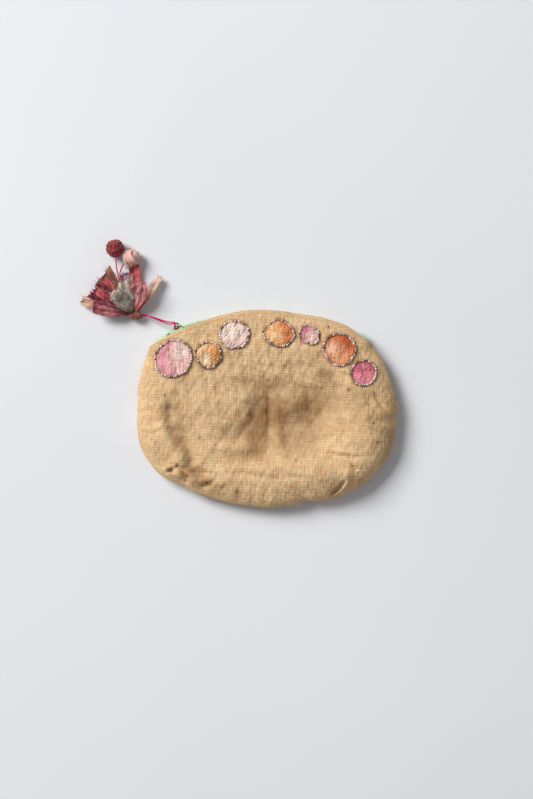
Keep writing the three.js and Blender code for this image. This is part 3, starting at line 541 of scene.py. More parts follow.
def mouth(theta):
    """1 where the zip holds the panels apart, 0 along the side seam."""
    angle = zip_angle(theta)
    left = smooth((angle - MOUTH[0] + MOUTH_FADE) / MOUTH_FADE)
    right = smooth((MOUTH[1] + MOUTH_FADE - angle) / MOUTH_FADE)
    return np.where(np.sin(theta) < 0, 0, left * right)


def rounded(t):
    """A quarter circle from 0 up to 1: sqrt(1 - (1 - t)^2)."""
    t = np.clip(t, 0, 1)
    return np.sqrt(1 - (1 - t) ** 2)


def fold(x, y, route, depth, width, end=6.0):
    """A soft furrow or ridge along a route of points: depth times a bell of the distance from it, fading
    over its ends."""
    route = np.array(route, float)
    nearest, along, run = np.full(np.shape(x), 1e9), np.zeros(np.shape(x)), 0.0
    for a, b in zip(route[:-1], route[1:]):
        size = np.linalg.norm(b - a)
        t = ((x - a[0]) * (b[0] - a[0]) + (y - a[1]) * (b[1] - a[1])) / size ** 2
        kept = np.clip(t, 0, 1)
        away = np.hypot(x - a[0] - kept * (b[0] - a[0]), y - a[1] - kept * (b[1] - a[1]))
        along = np.where(away < nearest, run + kept * size, along)
        nearest = np.minimum(away, nearest)
        run += size
    bell = depth * np.exp(-(nearest / width) ** 2)
    return bell * smooth(along / end + 0.2) * smooth((run - along) / end + 0.2)


def mound(x, y, middle, half, turn, height):
    """A soft bump, or a hollow where its height is negative: a bell over an ellipse turned by some
    degrees."""
    a = math.radians(turn)
    u = (x - middle[0]) * math.cos(a) + (y - middle[1]) * math.sin(a)
    v = -(x - middle[0]) * math.sin(a) + (y - middle[1]) * math.cos(a)
    return height * np.exp(-(u / half[0]) ** 2 - (v / half[1]) ** 2)


# each fold's route, its height or depth, its width, and how far its ends fade where that isn't 6 mm
FRONT_FOLDS = [
    ([(-65.5, 2.0), (-66.5, -8.0), (-59.5, -19.0), (-52.5, -29.0), (-49.0, -40.0)], -3.6, 4.4),
    ([(-66.5, 4.0), (-67.5, -2.0)], -1.6, 2.4, 3.0),
    ([(-74.0, -8.0), (-68.0, -22.0), (-61.0, -34.0), (-56.0, -42.0)], 1.7, 4.0),
    ([(3.2, 14.0), (2.4, -8.0), (1.0, -30.0)], -0.7, 2.2),
    ([(10.0, 14.0), (9.5, -8.0), (7.5, -28.0)], 0.4, 4.5, 10.0),
    ([(-3.0, 10.0), (-10.0, -8.0), (-22.0, -26.0)], -1.2, 3.5),
    ([(-38.0, -30.0), (-14.0, -32.0), (4.0, -31.0)], -1.5, 2.6),
    ([(14.0, -18.0), (30.0, -24.0), (48.0, -20.0)], -0.8, 3.0),
    ([(75.0, 11.2), (79.5, 5.0), (83.5, -1.0)], -1.9, 1.7),
    ([(70.0, 6.0), (75.0, 1.0), (79.0, -5.0)], -0.9, 1.8),
    ([(57.6, -38.5), (56.2, -49.7), (49.9, -60.2)], 1.4, 2.8),
    ([(55.5, -49.0), (51.5, -55.5), (46.0, -60.0)], -3.0, 1.5, 3.0),
    ([(59.0, -38.5), (64.5, -43.0)], -1.7, 1.2, 3.0),
    ([(-62.0, -39.0), (-57.5, -43.0), (-55.0, -49.0), (-56.0, -54.0)], -1.9, 1.9, 5.0),
    ([(-53.0, -43.0), (-47.0, -45.0), (-40.0, -45.5)], -1.6, 2.0, 5.0),
    ([(-46.0, -54.0), (-39.0, -53.0), (-35.0, -49.0)], -1.5, 1.9, 5.0),
    ([(-31.0, -57.0), (-27.0, -52.0)], -0.9, 1.7, 4.0),
    ([(-66.0, -47.5), (-63.5, -50.0)], -1.6, 1.6, 3.0),
    ([(-80.0, -18.0), (-72.0, -14.0)], -0.7, 1.6, 4.0),
    ([(-58.0, -34.0), (-44.0, -44.0), (-30.0, -50.0)], -1.0, 2.6),
    ([(60.0, -30.0), (72.0, -38.0)], 0.6, 2.2),
    ([(66.0, 4.0), (78.0, -12.0)], -0.6, 2.4),
    ([(-20.0, 18.0), (0.0, 14.5), (22.0, 17.0)], -0.5, 3.0),
    ([(32.4, -26.6), (50.0, -29.4), (69.5, -31.5)], 0.7, 1.4),
    ([(33.0, -29.5), (50.0, -32.0), (69.0, -34.0)], -0.5, 1.5),
    ([(-30.0, -44.0), (0.0, -48.0), (36.0, -47.0)], -0.7, 2.2),
    ([(43.0, 57.0), (44.5, 54.5)], -0.8, 1.0),
]
# each mound's middle, half-sizes, turn and height
FRONT_MOUNDS = [
    ((39.0, -2.0), (18, 14), 12, -4.4),
    ((-32.0, 2.0), (14, 16), 0, 1.6),
    ((30.0, -44.0), (46, 9), -4, 2.3),
    ((-42.0, -8.0), (14, 22), 12, 1.6),
    ((56.0, -14.0), (16, 16), 0, 1.2),
    ((-66.3, -42.7), (2.7, 1.3), 25, -3.3),
    ((9.0, -8.0), (6.5, 19), 0, -1.3),
    ((-61.5, -39.6), (1.8, 1.1), 60, -1.4),
    ((-60.5, -46.0), (4.0, 3.6), -30, 1.7),
    ((-49.5, -49.6), (5.5, 3.8), -20, 1.9),
    ((-41.5, -48.6), (3.6, 2.6), 0, 1.0),
    ((57.6, 14.0), (2.0, 1.4), 0, 0.6),
]
DEEPEST_SAG = ((3.0, -9.0), (19, 22), -12, -4.0)
# what the front's folds are multiplied by, and the wavelength, seed and height of its unevenness
FOLDS_BY = 1.15
WAVES, WRINKLES, CREASES, GATHERS = (24, 3, 0.7), (9, 5, 0.42), (3.6, 8, 0.2), (11, 13, 0.5)


def front_hem(theta):
    """Height of the front's turned edge: up at the zip, down at the seam."""
    return SEAM_Z + SEAM_GAP / 2 + (FRONT_HEM_Z - SEAM_Z - SEAM_GAP / 2) * mouth(theta)


def back_hem(theta):
    """Height of the back's turned edge: down at the zip, up at the seam."""
    return SEAM_Z - SEAM_GAP / 2 + (BACK_HEM_Z - SEAM_Z + SEAM_GAP / 2) * mouth(theta)


def front_height(theta, inset):
    """The front's top: a quarter ellipse from its turned edge up to a crest, then an easy sag."""
    edge = front_hem(theta) + 2 * LINEN
    crest = CREST_Z + CREST_TILT * np.cos(theta - CREST_TOWARDS)
    rim = edge + (crest - edge) * rounded(inset / RIM)
    return rim + (CENTRE_Z - rim) * smooth((inset - RIM) / SAG)


def front_relief(x, y, inset):
    """Folds, hollows and unevenness of the front, and the pull of the side seam on its edge."""
    theta = np.arctan2(y, x)
    total = (sum(fold(x, y, *given) for given in FRONT_FOLDS)
             + sum(mound(x, y, *given) for given in FRONT_MOUNDS))
    # the deepest sag ends in a crease down the middle
    total = total + mound(x, y, *DEEPEST_SAG) * (1 - smooth((x + 0.06 * (y + 9) - 1.6) / 8.5))
    middle = smooth(inset / 26)
    wavelength, seed, height = WAVES
    total = total + height * ripple(x, y, wavelength, seed) * smooth(inset / 10) * (0.45 + 0.55 * middle)
    wavelength, seed, height = WRINKLES
    total = total + height * ripple(x, y, wavelength, seed) * smooth(inset / 8) * (0.4 + 0.6 * middle)
    wavelength, seed, height = CREASES
    total = total + height * ripple(x, y, wavelength, seed) * smooth(inset / 3)
    wavelength, seed, height = GATHERS
    gathers = ripple(theta * 70, np.zeros_like(theta), wavelength, seed)
    pull = (1 - mouth(theta)) * np.exp(-(np.maximum(inset - 5, 0) / 9) ** 2) * smooth(inset / 4)
    return FOLDS_BY * total * smooth(inset / 5) + height * gathers * pull


def front_top(x, y):
    """Height of the front's outer face."""
    theta = np.arctan2(y, x)
    inset = reach(theta) - np.hypot(x, y)
    return front_height(theta, np.maximum(inset, 0)) + front_relief(x, y, inset)


def over_front(x, y, distance):
    """Points at a distance above the front, along its normal. Returns them and the normals."""
    step = 0.6
    slope_x = (front_top(x + step, y) - front_top(x - step, y)) / (2 * step)
    slope_y = (front_top(x, y + step) - front_top(x, y - step)) / (2 * step)
    normal = unit(np.stack([-slope_x, -slope_y, np.ones_like(slope_x)], -1))
    return np.stack([x, y, front_top(x, y)], -1) + normal * np.asarray(distance)[..., None], normal


def back_height(theta, inset):
    """The back's underside: flat on the table, rising to the seam in a quarter ellipse."""
    edge = back_hem(theta) - 2 * LINEN
    return edge * (1 - rounded(inset / HEEL))


def back_relief(x, y, inset):
    """Shallow wrinkles that lift the back off the table here and there."""
    lifted = np.maximum(ripple(x, y, 30, 21) + 0.3 * ripple(x, y, 11, 22), 0)
    return 0.7 * lifted * smooth(inset / 12)


def disc(n):
    """A square grid of n cells a side drawn onto a round one: x = u·sqrt(1 - v²/2), y = v·sqrt(1 - u²/2).
    Returns the share of the radius and the angle of its points, and its edge in order."""
    line = np.linspace(-1, 1, n + 1)
    u, v = np.meshgrid(line, line, indexing="ij")
    x, y = u * np.sqrt(1 - v ** 2 / 2), v * np.sqrt(1 - u ** 2 / 2)
    number = np.arange((n + 1) ** 2).reshape(n + 1, n + 1)
    edge = np.concatenate([number[:-1, 0], number[-1, :-1], number[:0:-1, -1], number[0, :0:-1]])
    return np.minimum(np.hypot(x, y), 1).ravel(), np.arctan2(y, x).ravel(), edge


def closed_disc(n, edge, count):
    """The faces of a disc of n cells a side, of count rings of points that follow it from its edge on, and of
    the last middle point that closes them."""
    first, around = (n + 1) ** 2, len(edge)
    ring = np.arange(around)
    lead = np.stack([edge, first + ring, first + (ring + 1) % around, np.roll(edge, -1)], -1)
    return [quads(n + 1, n + 1), lead, quads(count, around, False, True) + first,
            fan(first + count * around, first + (count - 1) * around + ring)]


# the share of a panel's grid that its rounded rim takes, and how high the rim rises along the cloth
ROUNDING, RIM_RISE = 0.36, 9
# rings of the hem: how far in from the edge, and how far out of the hem's level
HEM_RINGS = [(0.0, 0.9), (0.1, 0.45), (0.35, 0.12), (0.8, 0.0), (4.0, 0.0), (HEM, 0.0), (HEM, 0.9),
             (0.9, 0.95), (0.9, 1.8)]
# rings of the inner wall: round the rim, and on to the middle
WALL_TURNS = np.radians([18, 28, 36, 44, 52, 60, 67, 74, 82, 90])
WALL_SHARES = np.linspace(0.93, 0.05, 14)


def panel(n, side, rim, height, relief, hem_at):
    """One panel: an outer face on a disc grid, whose spacing follows the round of the rim, then its edge
    turned in flat over the hem, and an inner wall back to the middle. side is 1 for the front and -1 for the
    back. Returns the shell and its cloth."""
    share, theta, edge = disc(n)
    out = reach(theta)
    turn = np.pi / 2 * np.clip((1 - share) / ROUNDING, 0, 1)
    in_rim = share > 1 - ROUNDING
    inset = np.where(in_rim, rim * (1 - np.cos(turn)),
                     rim + (1 - ROUNDING - share) / (1 - ROUNDING) * (out - rim))
    radius = np.maximum(out - inset, 0)
    x, y = radius * np.cos(theta), radius * np.sin(theta)
    points = [np.stack([x, y, height(theta, inset) + relief(x, y, inset)], -1)]
    # the cloth's own width: the arc of the rim is longer than its plan
    arc = np.linspace(0, np.pi / 2, 60)
    steps = np.hypot(np.diff(rim * np.cos(arc)), np.diff(RIM_RISE * np.sin(arc)))
    lengths = np.concatenate([[0], np.cumsum(steps)])
    flat = np.where(in_rim, out - rim + lengths[-1] - np.interp(turn, arc, lengths), radius)
    cloth = [np.stack([flat * np.cos(theta), flat * np.sin(theta)], -1)]
    theta, out = theta[edge], out[edge]
    hem = hem_at(theta)
    for turned_in, rise in HEM_RINGS:
        points.append(polar(out - turned_in, theta, hem + side * rise))
        cloth.append(cloth[0][edge] * (1 + (rise + turned_in) / out)[:, None])
    start = height(theta, np.zeros_like(theta))
    crest = height(theta, np.full_like(theta, rim))
    for turn in WALL_TURNS:
        inset = LINEN + (rim - LINEN) * (1 - math.cos(turn))
        x, y = (out - inset) * np.cos(theta), (out - inset) * np.sin(theta)
        z = start + (crest - side * LINEN - start) * math.sin(turn) + relief(x, y, inset)
        points.append(np.stack([x, y, z - side * 0.5 * math.sin(turn)], -1))
        cloth.append(points[-1][:, :2])
    for share in WALL_SHARES:
        radius = share * (out - rim)
        x, y = radius * np.cos(theta), radius * np.sin(theta)
        wall = LINEN + max(0.5, SLACK * smooth(2 - 2 * share))
        z = height(theta, out - radius) + relief(x, y, out - radius) - side * wall
        points.append(np.stack([x, y, z], -1))
        cloth.append(points[-1][:, :2])
    points.append(points[-1].mean(0, keepdims=True))
    cloth.append(np.zeros((1, 2)))
    faces = closed_disc(n, edge, len(HEM_RINGS) + len(WALL_TURNS) + len(WALL_SHARES))
    return (np.concatenate(points), faces), np.concatenate(cloth)


# how far apart the threads of each cloth are, in metres
LINEN_PITCH, LINING_PITCH, TAPE_PITCH = 0.00112, 0.0004, 0.00045


def linen_finish():
    """Coarse tan linen: a plain weave of uneven threads with painted shade between them and painted light on
    the threads of one way, slubs, a few dark nubs, dark spots partly painted shade in pits, pink bleeding
    round the silk, and a browner middle and ring along the beads, partly from handling and partly painted
    shade."""
    f = Finish("tan linen", Roughness=0.92, Specular_IOR_Level=0.12)
    height, warp, weft, over = plain_weave(f, LINEN_PITCH)
    streak = f.maths("ADD", f.between(warp, 0.25, 0.75, -0.5, 0.5), f.between(weft, 0.25, 0.75, -0.5, 0.5))
    cloud = f.noise(f.cloth(), 70.0, 4.0)
    tone = f.maths("ADD", f.maths("MULTIPLY", streak, 0.6), f.between(cloud, 0.3, 0.7, 0.32, 0.58))
    # painted light: cells where one thread lies on top are lighter, as light from the left falls across the
    # threads of one way
    tone = f.maths("ADD", tone, f.maths("MULTIPLY", over, 0.3))
    colour = f.mix(tone, srgb(226, 167, 112), srgb(255, 229, 183))
    # painted shade between the threads: darker brown where the weave is low
    colour = f.mix(f.between(height, 0.0, 0.5, 0.62, 0.0), colour, srgb(164, 114, 66))
    patches = f.between(f.noise(f.cloth(), 190.0, 4.0), 0.3, 0.7, 0.85, 1.1)
    # partly grime and partly painted shade: browner in the sags, the furrows and along the beads
    grime_shade_share = f.maths("MULTIPLY", f.shade("grime_and_shade"), patches)
    colour = f.mix(f.maths("MULTIPLY", grime_shade_share, 0.9), colour, srgb(138, 98, 56))
    ragged = f.between(f.noise(f.cloth(), 1100.0, 2.0), 0.4, 0.6, 0.45, 1.0)
    # dark spots: partly stains, partly painted shade in the pits and furrows
    colour = f.mix(f.maths("MULTIPLY", f.shade("spots_and_pit_shade"), ragged), colour, srgb(96, 62, 34))
    colour = f.mix(f.shade("inky"), colour, srgb(84, 88, 112))
    nubs = f.between(f.noise(f.cloth(), 420.0, 1.0), 0.7, 0.78)
    colour = f.mix(f.maths("MULTIPLY", nubs, 0.6), colour, srgb(124, 80, 42))
    bled = f.maths("MULTIPLY", f.shade("bled"), f.between(f.noise(f.cloth(), 900.0, 2.0), 0.4, 0.6, 0.2, 1.0))
    colour = f.mix(bled, colour, srgb(214, 124, 118))
    slubs = f.maths("MULTIPLY", streak, 0.7)
    return f.done(colour, f.bump(f.maths("ADD", height, slubs), 0.0002))


# where the silks' dye has bled, where the linen has dark spots (partly stains, partly painted shade in its
# pits and furrows) and where ink has touched it: middle and size
BLEEDS = [((-78.0, 37.0), 1.3), ((-32.0, 26.5), 1.1), ((-54.0, 24.0), 1.0), ((-21.0, 40.5), 1.3),
          ((24.5, 45.5), 1.6), ((40.5, 36.5), 1.8), ((48.0, 29.5), 1.2), ((9.5, 42.5), 1.1),
          ((62.0, 17.5), 1.0), ((38.5, 46.0), 1.0)]
SPOTS_AND_PIT_SHADE = [((-66.3, -43.0), 1.5), ((-61.6, -39.8), 0.8), ((-55.1, -46.7), 1.2), ((-41.1, -51.2), 1.0),
         ((57.6, 13.6), 1.2), ((20.8, -35.5), 0.9), ((-20.2, -57.5), 1.2), ((13.0, 30.5), 1.0),
         ((43.6, 57.4), 0.9), ((-46.0, -20.0), 0.9), ((2.0, 20.0), 1.2), ((-35.0, -25.0), 0.8),
         ((-70.5, 10.0), 0.9)]
INKY = [((75.1, -9.8), 0.8), ((77.9, -23.1), 0.8)]
# where the linen is browner, partly from handling and partly as painted shade in its sags and furrows:
# middle, half-sizes, turn and share; and the stain along the beads, which is partly a painted contact shadow
GRIME_AND_SHADE_PLACES = [((9.0, -9.0), (7, 19), 0, 0.5), ((-6.0, -10.0), (10, 20), -14, 0.95),
           ((30.0, -1.0), (20, 14), 12, 0.75), ((84.0, -14.0), (9, 26), 8, 0.45),
           ((-60.0, -14.0), (5.5, 24), 16, 0.55), ((-22.0, -32.0), (18, 3.5), 0, 0.35),
           ((22.0, -27.0), (22, 7), 0, 0.3), ((-50.0, -46.0), (15, 6), -25, 0.5),
           ((48.0, -56.0), (9, 5), 40, 0.4), ((4.0, 18.0), (26, 6), 0, 0.3), ((41.0, 25.0), (7, 4), -20, 0.6),
           ((-30.0, -56.0), (16, 4), -10, 0.25), ((66.0, 2.0), (9, 12), 0, 0.3)]
RING_STAIN_AND_SHADE, RING_STAIN_AND_SHADE_WIDE = 0.75, 1.5
# cells a side of each panel's grid, how much of its cut's rectangle a rounded panel fills, and how far the
# back's cloth lies from the front's
FRONT_CELLS, BACK_CELLS, PANEL_SHARE, CLOTH_APART = 252, 190, 0.87, 200.0


def grime_and_shade_at(x, y):
    """How brown the front is painted, from 0 to 1: worn places that are partly painted shade in the sags and
    furrows, and a stain along the beads that is partly a painted contact shadow.
    """
    grime_and_shade = sum(mound(x, y, *given) for given in GRIME_AND_SHADE_PLACES) * (1.0 + 0.18 * ripple(x, y, 14, 31))
    for (mx, my), given, _ in DOTS.values():
        from_ring = np.hypot(x - mx, y - my) - ring_reach(given, np.arctan2(y - my, x - mx))
        # along each ring of beads: a stain and a painted contact shadow
        grime_and_shade = grime_and_shade + RING_STAIN_AND_SHADE * np.exp(-(from_ring / RING_STAIN_AND_SHADE_WIDE) ** 2)
    return np.clip(grime_and_shade + 0.1 + 0.1 * ripple(x, y, 30, 33), 0, 1)


def spotted(x, y, places):
    """How spotted the front is, from 0 to 1, by round spots: stains, and dark spots that are partly painted
    shade.
    """
    return np.clip(sum(mound(x, y, where, (size, size), 0, 1.2) for where, size in places), 0, 1)


def make_panels():
    """The two linen panels, with the shades that their finish reads."""
    finish = linen_finish()
    shell, front_cloth = panel(FRONT_CELLS, 1, RIM, front_height, front_relief, front_hem)
    x, y = shell[0][:, 0], shell[0][:, 1]
    front = put("linen_front", "pouch", shell, finish, "linen", ["front_panel"], front_cloth,
                grime_and_shade=grime_and_shade_at(x, y), bled=spotted(x, y, BLEEDS), spots_and_pit_shade=spotted(x, y, SPOTS_AND_PIT_SHADE),
                inky=spotted(x, y, INKY))
    shell, back_cloth = panel(BACK_CELLS, -1, HEEL, back_height, back_relief, back_hem)
    x, y = shell[0][:, 0], shell[0][:, 1]
    # on the back an uneven browning alone, with no painted shade
    grime_and_shade = np.clip(0.35 + 0.35 * ripple(x, y, 40, 32), 0, 1)
    clean = grime_and_shade * 0
    # apart from the front's cloth, so that their weaves differ
    back = put("linen_back", "pouch", shell, finish, "linen", ["back_panel"], back_cloth + CLOTH_APART,
               grime_and_shade=grime_and_shade, bled=clean, spots_and_pit_shade=clean, inky=clean)


def lining_finish():
    """Cream cotton: a fine plain weave, with painted shade between its threads."""
    f = Finish("cream lining", Roughness=0.85, Sheen_Weight=0.15)
    height, warp, weft, _ = plain_weave(f, LINING_PITCH, 0.1)
    tone = f.maths("MULTIPLY", f.maths("ADD", warp, weft), 0.5)
    colour = f.mix(tone, srgb(206, 192, 166), srgb(228, 217, 196))
    # painted shade between the threads, where the weave is low
    colour = f.mix(f.between(height, 0.0, 0.5, 0.3, 0.0), colour, srgb(168, 150, 122))
    return f.done(colour, f.bump(height, 0.00008))


def make_linings():
    """Each lining follows its panel inside and turns along the end of the hem."""
    finish = lining_finish()
    around = 180
    theta = np.arange(around) / around * 2 * np.pi
    out = reach(theta)
    end = out - HEM - 0.3
    inner, outer = LINEN + LINING_GAP, LINEN + LINING_GAP + LINING
    for name, side, height, relief, hem in (("front", 1, front_height, front_relief, front_hem(theta)),
                                            ("back", -1, back_height, back_relief, back_hem(theta))):
        walls = []
        for wall in (inner, outer):
            line = []
            for share in np.linspace(0.02, 0.97, 22):
                radius = share * end
                x, y = radius * np.cos(theta), radius * np.sin(theta)
                inset = out - radius
                below = wall * 1.1 + max(0.5, SLACK * smooth(2 - 2 * share))
                relieved = height(theta, inset) + relief(x, y, inset) * smooth((inset - 6) / 7)
                line.append((radius, relieved - side * below))
            edge = end - (wall - inner)
            top = height(theta, out - edge) - side * (wall + 0.8)
            line += [(edge, hem + (top - hem) * 0.7), (edge, hem)]
            walls.append(line)
        line = walls[0] + walls[1][::-1]
        points = [polar(radius, theta, z) for radius, z in line]
        ends = [np.array([[0, 0, line[k][1].mean()]]) for k in (0, -1)]
        points = np.concatenate(points + ends)
        piece = put("lining_" + name, "pouch", (points, capped(len(line), around)), finish, "lining_cloth",
                    [name + "_lining"], points[:, :2])


# Silk dots and their beads

# each dot's middle, the distance to the middle of its beads every 15 degrees round, and its slot
DOTS = {
    "pink_large": ((-63.9, 34.65), (12.1, 12.8, 13.3, 13.7, 13.5, 13.3, 13.4, 13.1, 12.6, 12.5, 12.9, 13.0,
                   12.9, 13.0, 13.1, 13.1, 13.0, 12.5, 12.2, 11.8, 11.4, 11.5, 11.5, 11.1), "silk_pink"),
    "orange_small": ((-40.1, 37.8), (8.6, 9.1, 9.3, 9.4, 9.2, 8.8, 8.6, 8.5, 8.5, 8.7, 9.1, 9.1,
                   8.9, 8.7, 8.4, 8.4, 8.7, 8.8, 9.0, 9.0, 8.8, 8.6, 8.6, 8.7), "silk_orange"),
    "pale_pink": ((-21.2, 51.7), (9.8, 9.9, 10.0, 9.7, 9.4, 9.3, 9.3, 9.6, 10.1, 10.6, 10.7, 10.7,
                   10.6, 10.5, 10.5, 10.3, 9.9, 9.5, 9.2, 9.1, 9.1, 9.3, 9.4, 9.5), "silk_cream"),
    "orange": ((9.3, 52.9), (10.2, 9.8, 9.3, 8.9, 8.9, 9.1, 9.3, 9.3, 9.1, 9.2, 10.0, 10.7,
                   11.0, 10.6, 9.7, 9.1, 9.0, 9.0, 9.1, 9.2, 9.4, 9.7, 10.1, 10.4), "silk_orange"),
    "pink_small": ((30.7, 51.8), (6.3, 6.1, 5.8, 5.5, 5.5, 5.6, 6.0, 6.6, 7.2, 7.5, 7.6, 7.3,
                   6.7, 6.6, 6.6, 6.3, 6.0, 5.8, 6.1, 6.7, 7.0, 7.0, 7.0, 6.7), "silk_pink"),
    "rust": ((51.4, 41.3), (11.1, 10.9, 10.8, 10.6, 10.5, 10.5, 10.6, 11.1, 11.6, 11.8, 11.9, 11.7,
                   11.2, 10.8, 10.3, 10.2, 10.3, 10.7, 11.1, 11.3, 11.0, 10.6, 10.5, 10.9), "silk_rust"),
    "magenta": ((68.4, 25.1), (7.9, 8.1, 8.4, 8.4, 8.5, 8.6, 8.7, 8.6, 8.7, 8.6, 8.7, 9.2,
                   9.3, 9.0, 8.9, 8.8, 8.9, 8.5, 8.2, 8.3, 8.1, 8.0, 8.1, 8.1), "silk_magenta"),
}
# cells a side of a dot's grid, how far it ends inside its beads' middle, and the share of its rectangle
DOT_CELLS, DOT_INSIDE_BEADS, DOT_SHARE = 64, 0.35, 0.8
BEAD_R, BEAD_LENGTH, BEAD_PITCH, BEAD_SIDES = 0.76, 1.2, 1.42, 8
# a bead's profile from bore to bore: where along it, and how wide there
BEAD_RUN = np.array([-0.42, -0.5, -0.34, 0.0, 0.34, 0.5, 0.42]) * BEAD_LENGTH
BEAD_GIRTH = np.array([0.42, 0.72, 0.97, 1.0, 0.97, 0.72, 0.42]) * BEAD_R


def silk_finish(name, ground, cloud, deep, pale):
    """Crumpled silk dyed unevenly: a ground and a clouding colour, deeper dye towards one side, a paler worn
    place, and flecks along the sewn edge."""
    f = Finish("dyed silk " + name, Roughness=0.5, Sheen_Weight=0.3, Specular_IOR_Level=0.4)
    where = f.place()
    mottle = f.noise(where, 330.0, 4.0, distortion=0.6)
    colour = f.mix(f.between(mottle, 0.38, 0.62), srgb(*ground), srgb(*cloud))
    side = f.maths("ADD", f.shade("towards"), f.between(f.noise(where, 150.0, 3.0), 0.0, 1.0, -0.28, 0.28))
    colour = f.mix(f.between(side, 0.35, 0.85), colour, srgb(*deep))
    worn = f.maths("ADD", f.shade("worn"), f.between(f.noise(where, 300.0, 4.0), 0.25, 0.75, -0.4, 0.4))
    colour = f.mix(f.between(worn, 0.2, 1.0, 0.0, 0.85), colour, srgb(*pale))
    flecks = f.maths("MULTIPLY", f.shade("edge"), f.between(f.noise(where, 1500.0, 2.0), 0.5, 0.62))
    colour = f.mix(f.maths("MULTIPLY", flecks, 0.7), colour, srgb(*[0.55 * c for c in deep]))
    crumple = f.noise(where, 700.0, 3.0, distortion=1.0)
    weave = f.noise(f.vector("MULTIPLY", where, (1.0, 3.0, 1.0)), 2600.0, 1.0)
    return f.done(colour, f.bump(weave, 0.00004, f.bump(crumple, 0.0007)))


# each silk's ground, clouding, deep and pale colours, the way towards which it is deeper in degrees, and its
# worn place: the middle from the dot's own, and its size
SILKS = {
    "pink_large": ((238, 182, 178), (252, 206, 194), (230, 152, 158), (249, 227, 205), 185, (3.5, 5.5, 6.5)),
    "orange_small": ((249, 190, 130), (252, 213, 163), (233, 153, 86), (252, 227, 187), 20,
                     (-1.5, -3.0, 4.0)),
    "pale_pink": ((242, 208, 196), (250, 226, 208), (241, 198, 192), (248, 234, 212), 330, (0.5, 1.0, 5.0)),
    "orange": ((235, 164, 99), (246, 185, 127), (218, 122, 65), (246, 203, 153), 10, (-3.5, -2.0, 5.5)),
    "pink_small": ((235, 181, 176), (246, 204, 192), (208, 111, 130), (248, 217, 198), 150, (0.5, -0.5, 3.0)),
    "rust": ((220, 143, 95), (233, 164, 119), (205, 96, 44), (240, 200, 172), 60, (-5.0, 0.5, 4.4)),
    "magenta": ((226, 125, 141), (237, 151, 156), (190, 78, 104), (230, 173, 160), 100, (-0.5, 4.5, 2.2)),
}


def dot_shell(index, mx, my, out, share, phi, edge):
    """A disc of silk that puffs up a little and crumples over the linen, with its edge turned under: rings
    draw in below it to a middle point. Returns its points and faces."""
    x, y = mx + share * out * np.cos(phi), my + share * out * np.sin(phi)
    puff = 0.35 + 0.55 * (1 - share ** 5) + 0.55 * ripple(x, y, 9.5, 40 + index) * (1 - share ** 6)
    gathers = 0.16 * ripple(phi * 4, phi * 0, 1.6, 80 + index) * share ** 6 * (1 - share ** 12)
    puff += 0.2 * ripple(x, y, 2.6, 60 + index) * (1 - share ** 8) + gathers
    top, _ = over_front(x, y, np.maximum(puff, 0.22))
    under = 0.06
    out, phi = out[edge], phi[edge]
    rims = []
    for inwards, above in ((0.0, 0.16), (0.25, under), (1.2, under), (0.5 * out.mean(), under)):
        r = out - inwards
        rims.append(over_front(mx + r * np.cos(phi), my + r * np.sin(phi), np.full(len(edge), above))[0])
    pole, _ = over_front(np.array([mx]), np.array([my]), np.array([under]))
    return np.concatenate([top, *rims, pole]), closed_disc(DOT_CELLS, edge, len(rims))


def make_dots():
    """Each dot is a disc of silk whose edge is turned under its ring of beads."""
    share, phi, edge = disc(DOT_CELLS)
    for index, (name, ((mx, my), given, slot)) in enumerate(DOTS.items()):
        out = ring_reach(given, phi) - DOT_INSIDE_BEADS
        points, faces = dot_shell(index, mx, my, out, share, phi, edge)
        *dyes, way, (px, py, size) = SILKS[name]
        x, y, way = points[:, 0], points[:, 1], math.radians(way)
        px, py = px + mx, py + my
        u = ((x - mx) * math.cos(way) + (y - my) * math.sin(way)) / out.mean()
        worn = np.exp(-((x - px) ** 2 + (y - py) ** 2) / size ** 2)
        from_edge = np.concatenate([share, np.ones(len(points) - len(share) - 1), [0]])
        silk = put("silk_" + name, "pouch", (points, faces), silk_finish(name, *dyes), slot, ["dot_" + name],
                   points[:, :2], towards=u * 0.5 + 0.5, worn=worn, edge=smooth((from_edge - 0.7) / 0.3))


def bead_finish():
    """Silver-lined seed beads: pale rose, silver and some bronze, bead by bead, partly their own colour and
    partly painted shade and painted highlight, with darker streaks and lighter streaks that are painted
    glints.
    """
    f = Finish("silver lined seed beads", Roughness=0.25, Metallic=0.15, Coat_Weight=0.7, Coat_Roughness=0.06)
    tone = f.shade("bead_shade_and_glint")
    # each bead from dark to near white: the dark ones painted shade, the near-white ones painted highlight
    colour = f.mix(f.between(tone, 0.12, 0.34), srgb(100, 70, 50), srgb(196, 160, 134))
    colour = f.mix(f.between(tone, 0.4, 0.8), colour, srgb(252, 240, 228))
    streaks = f.noise(f.place(), 3000.0, 2.0)
    colour = f.mix(f.between(streaks, 0.5, 0.68, 0.0, 0.6), colour, srgb(120, 70, 62))
    # painted glints: near-white streaks
    return f.done(f.mix(f.between(streaks, 0.42, 0.3, 0.0, 0.7), colour, srgb(250, 244, 242)))


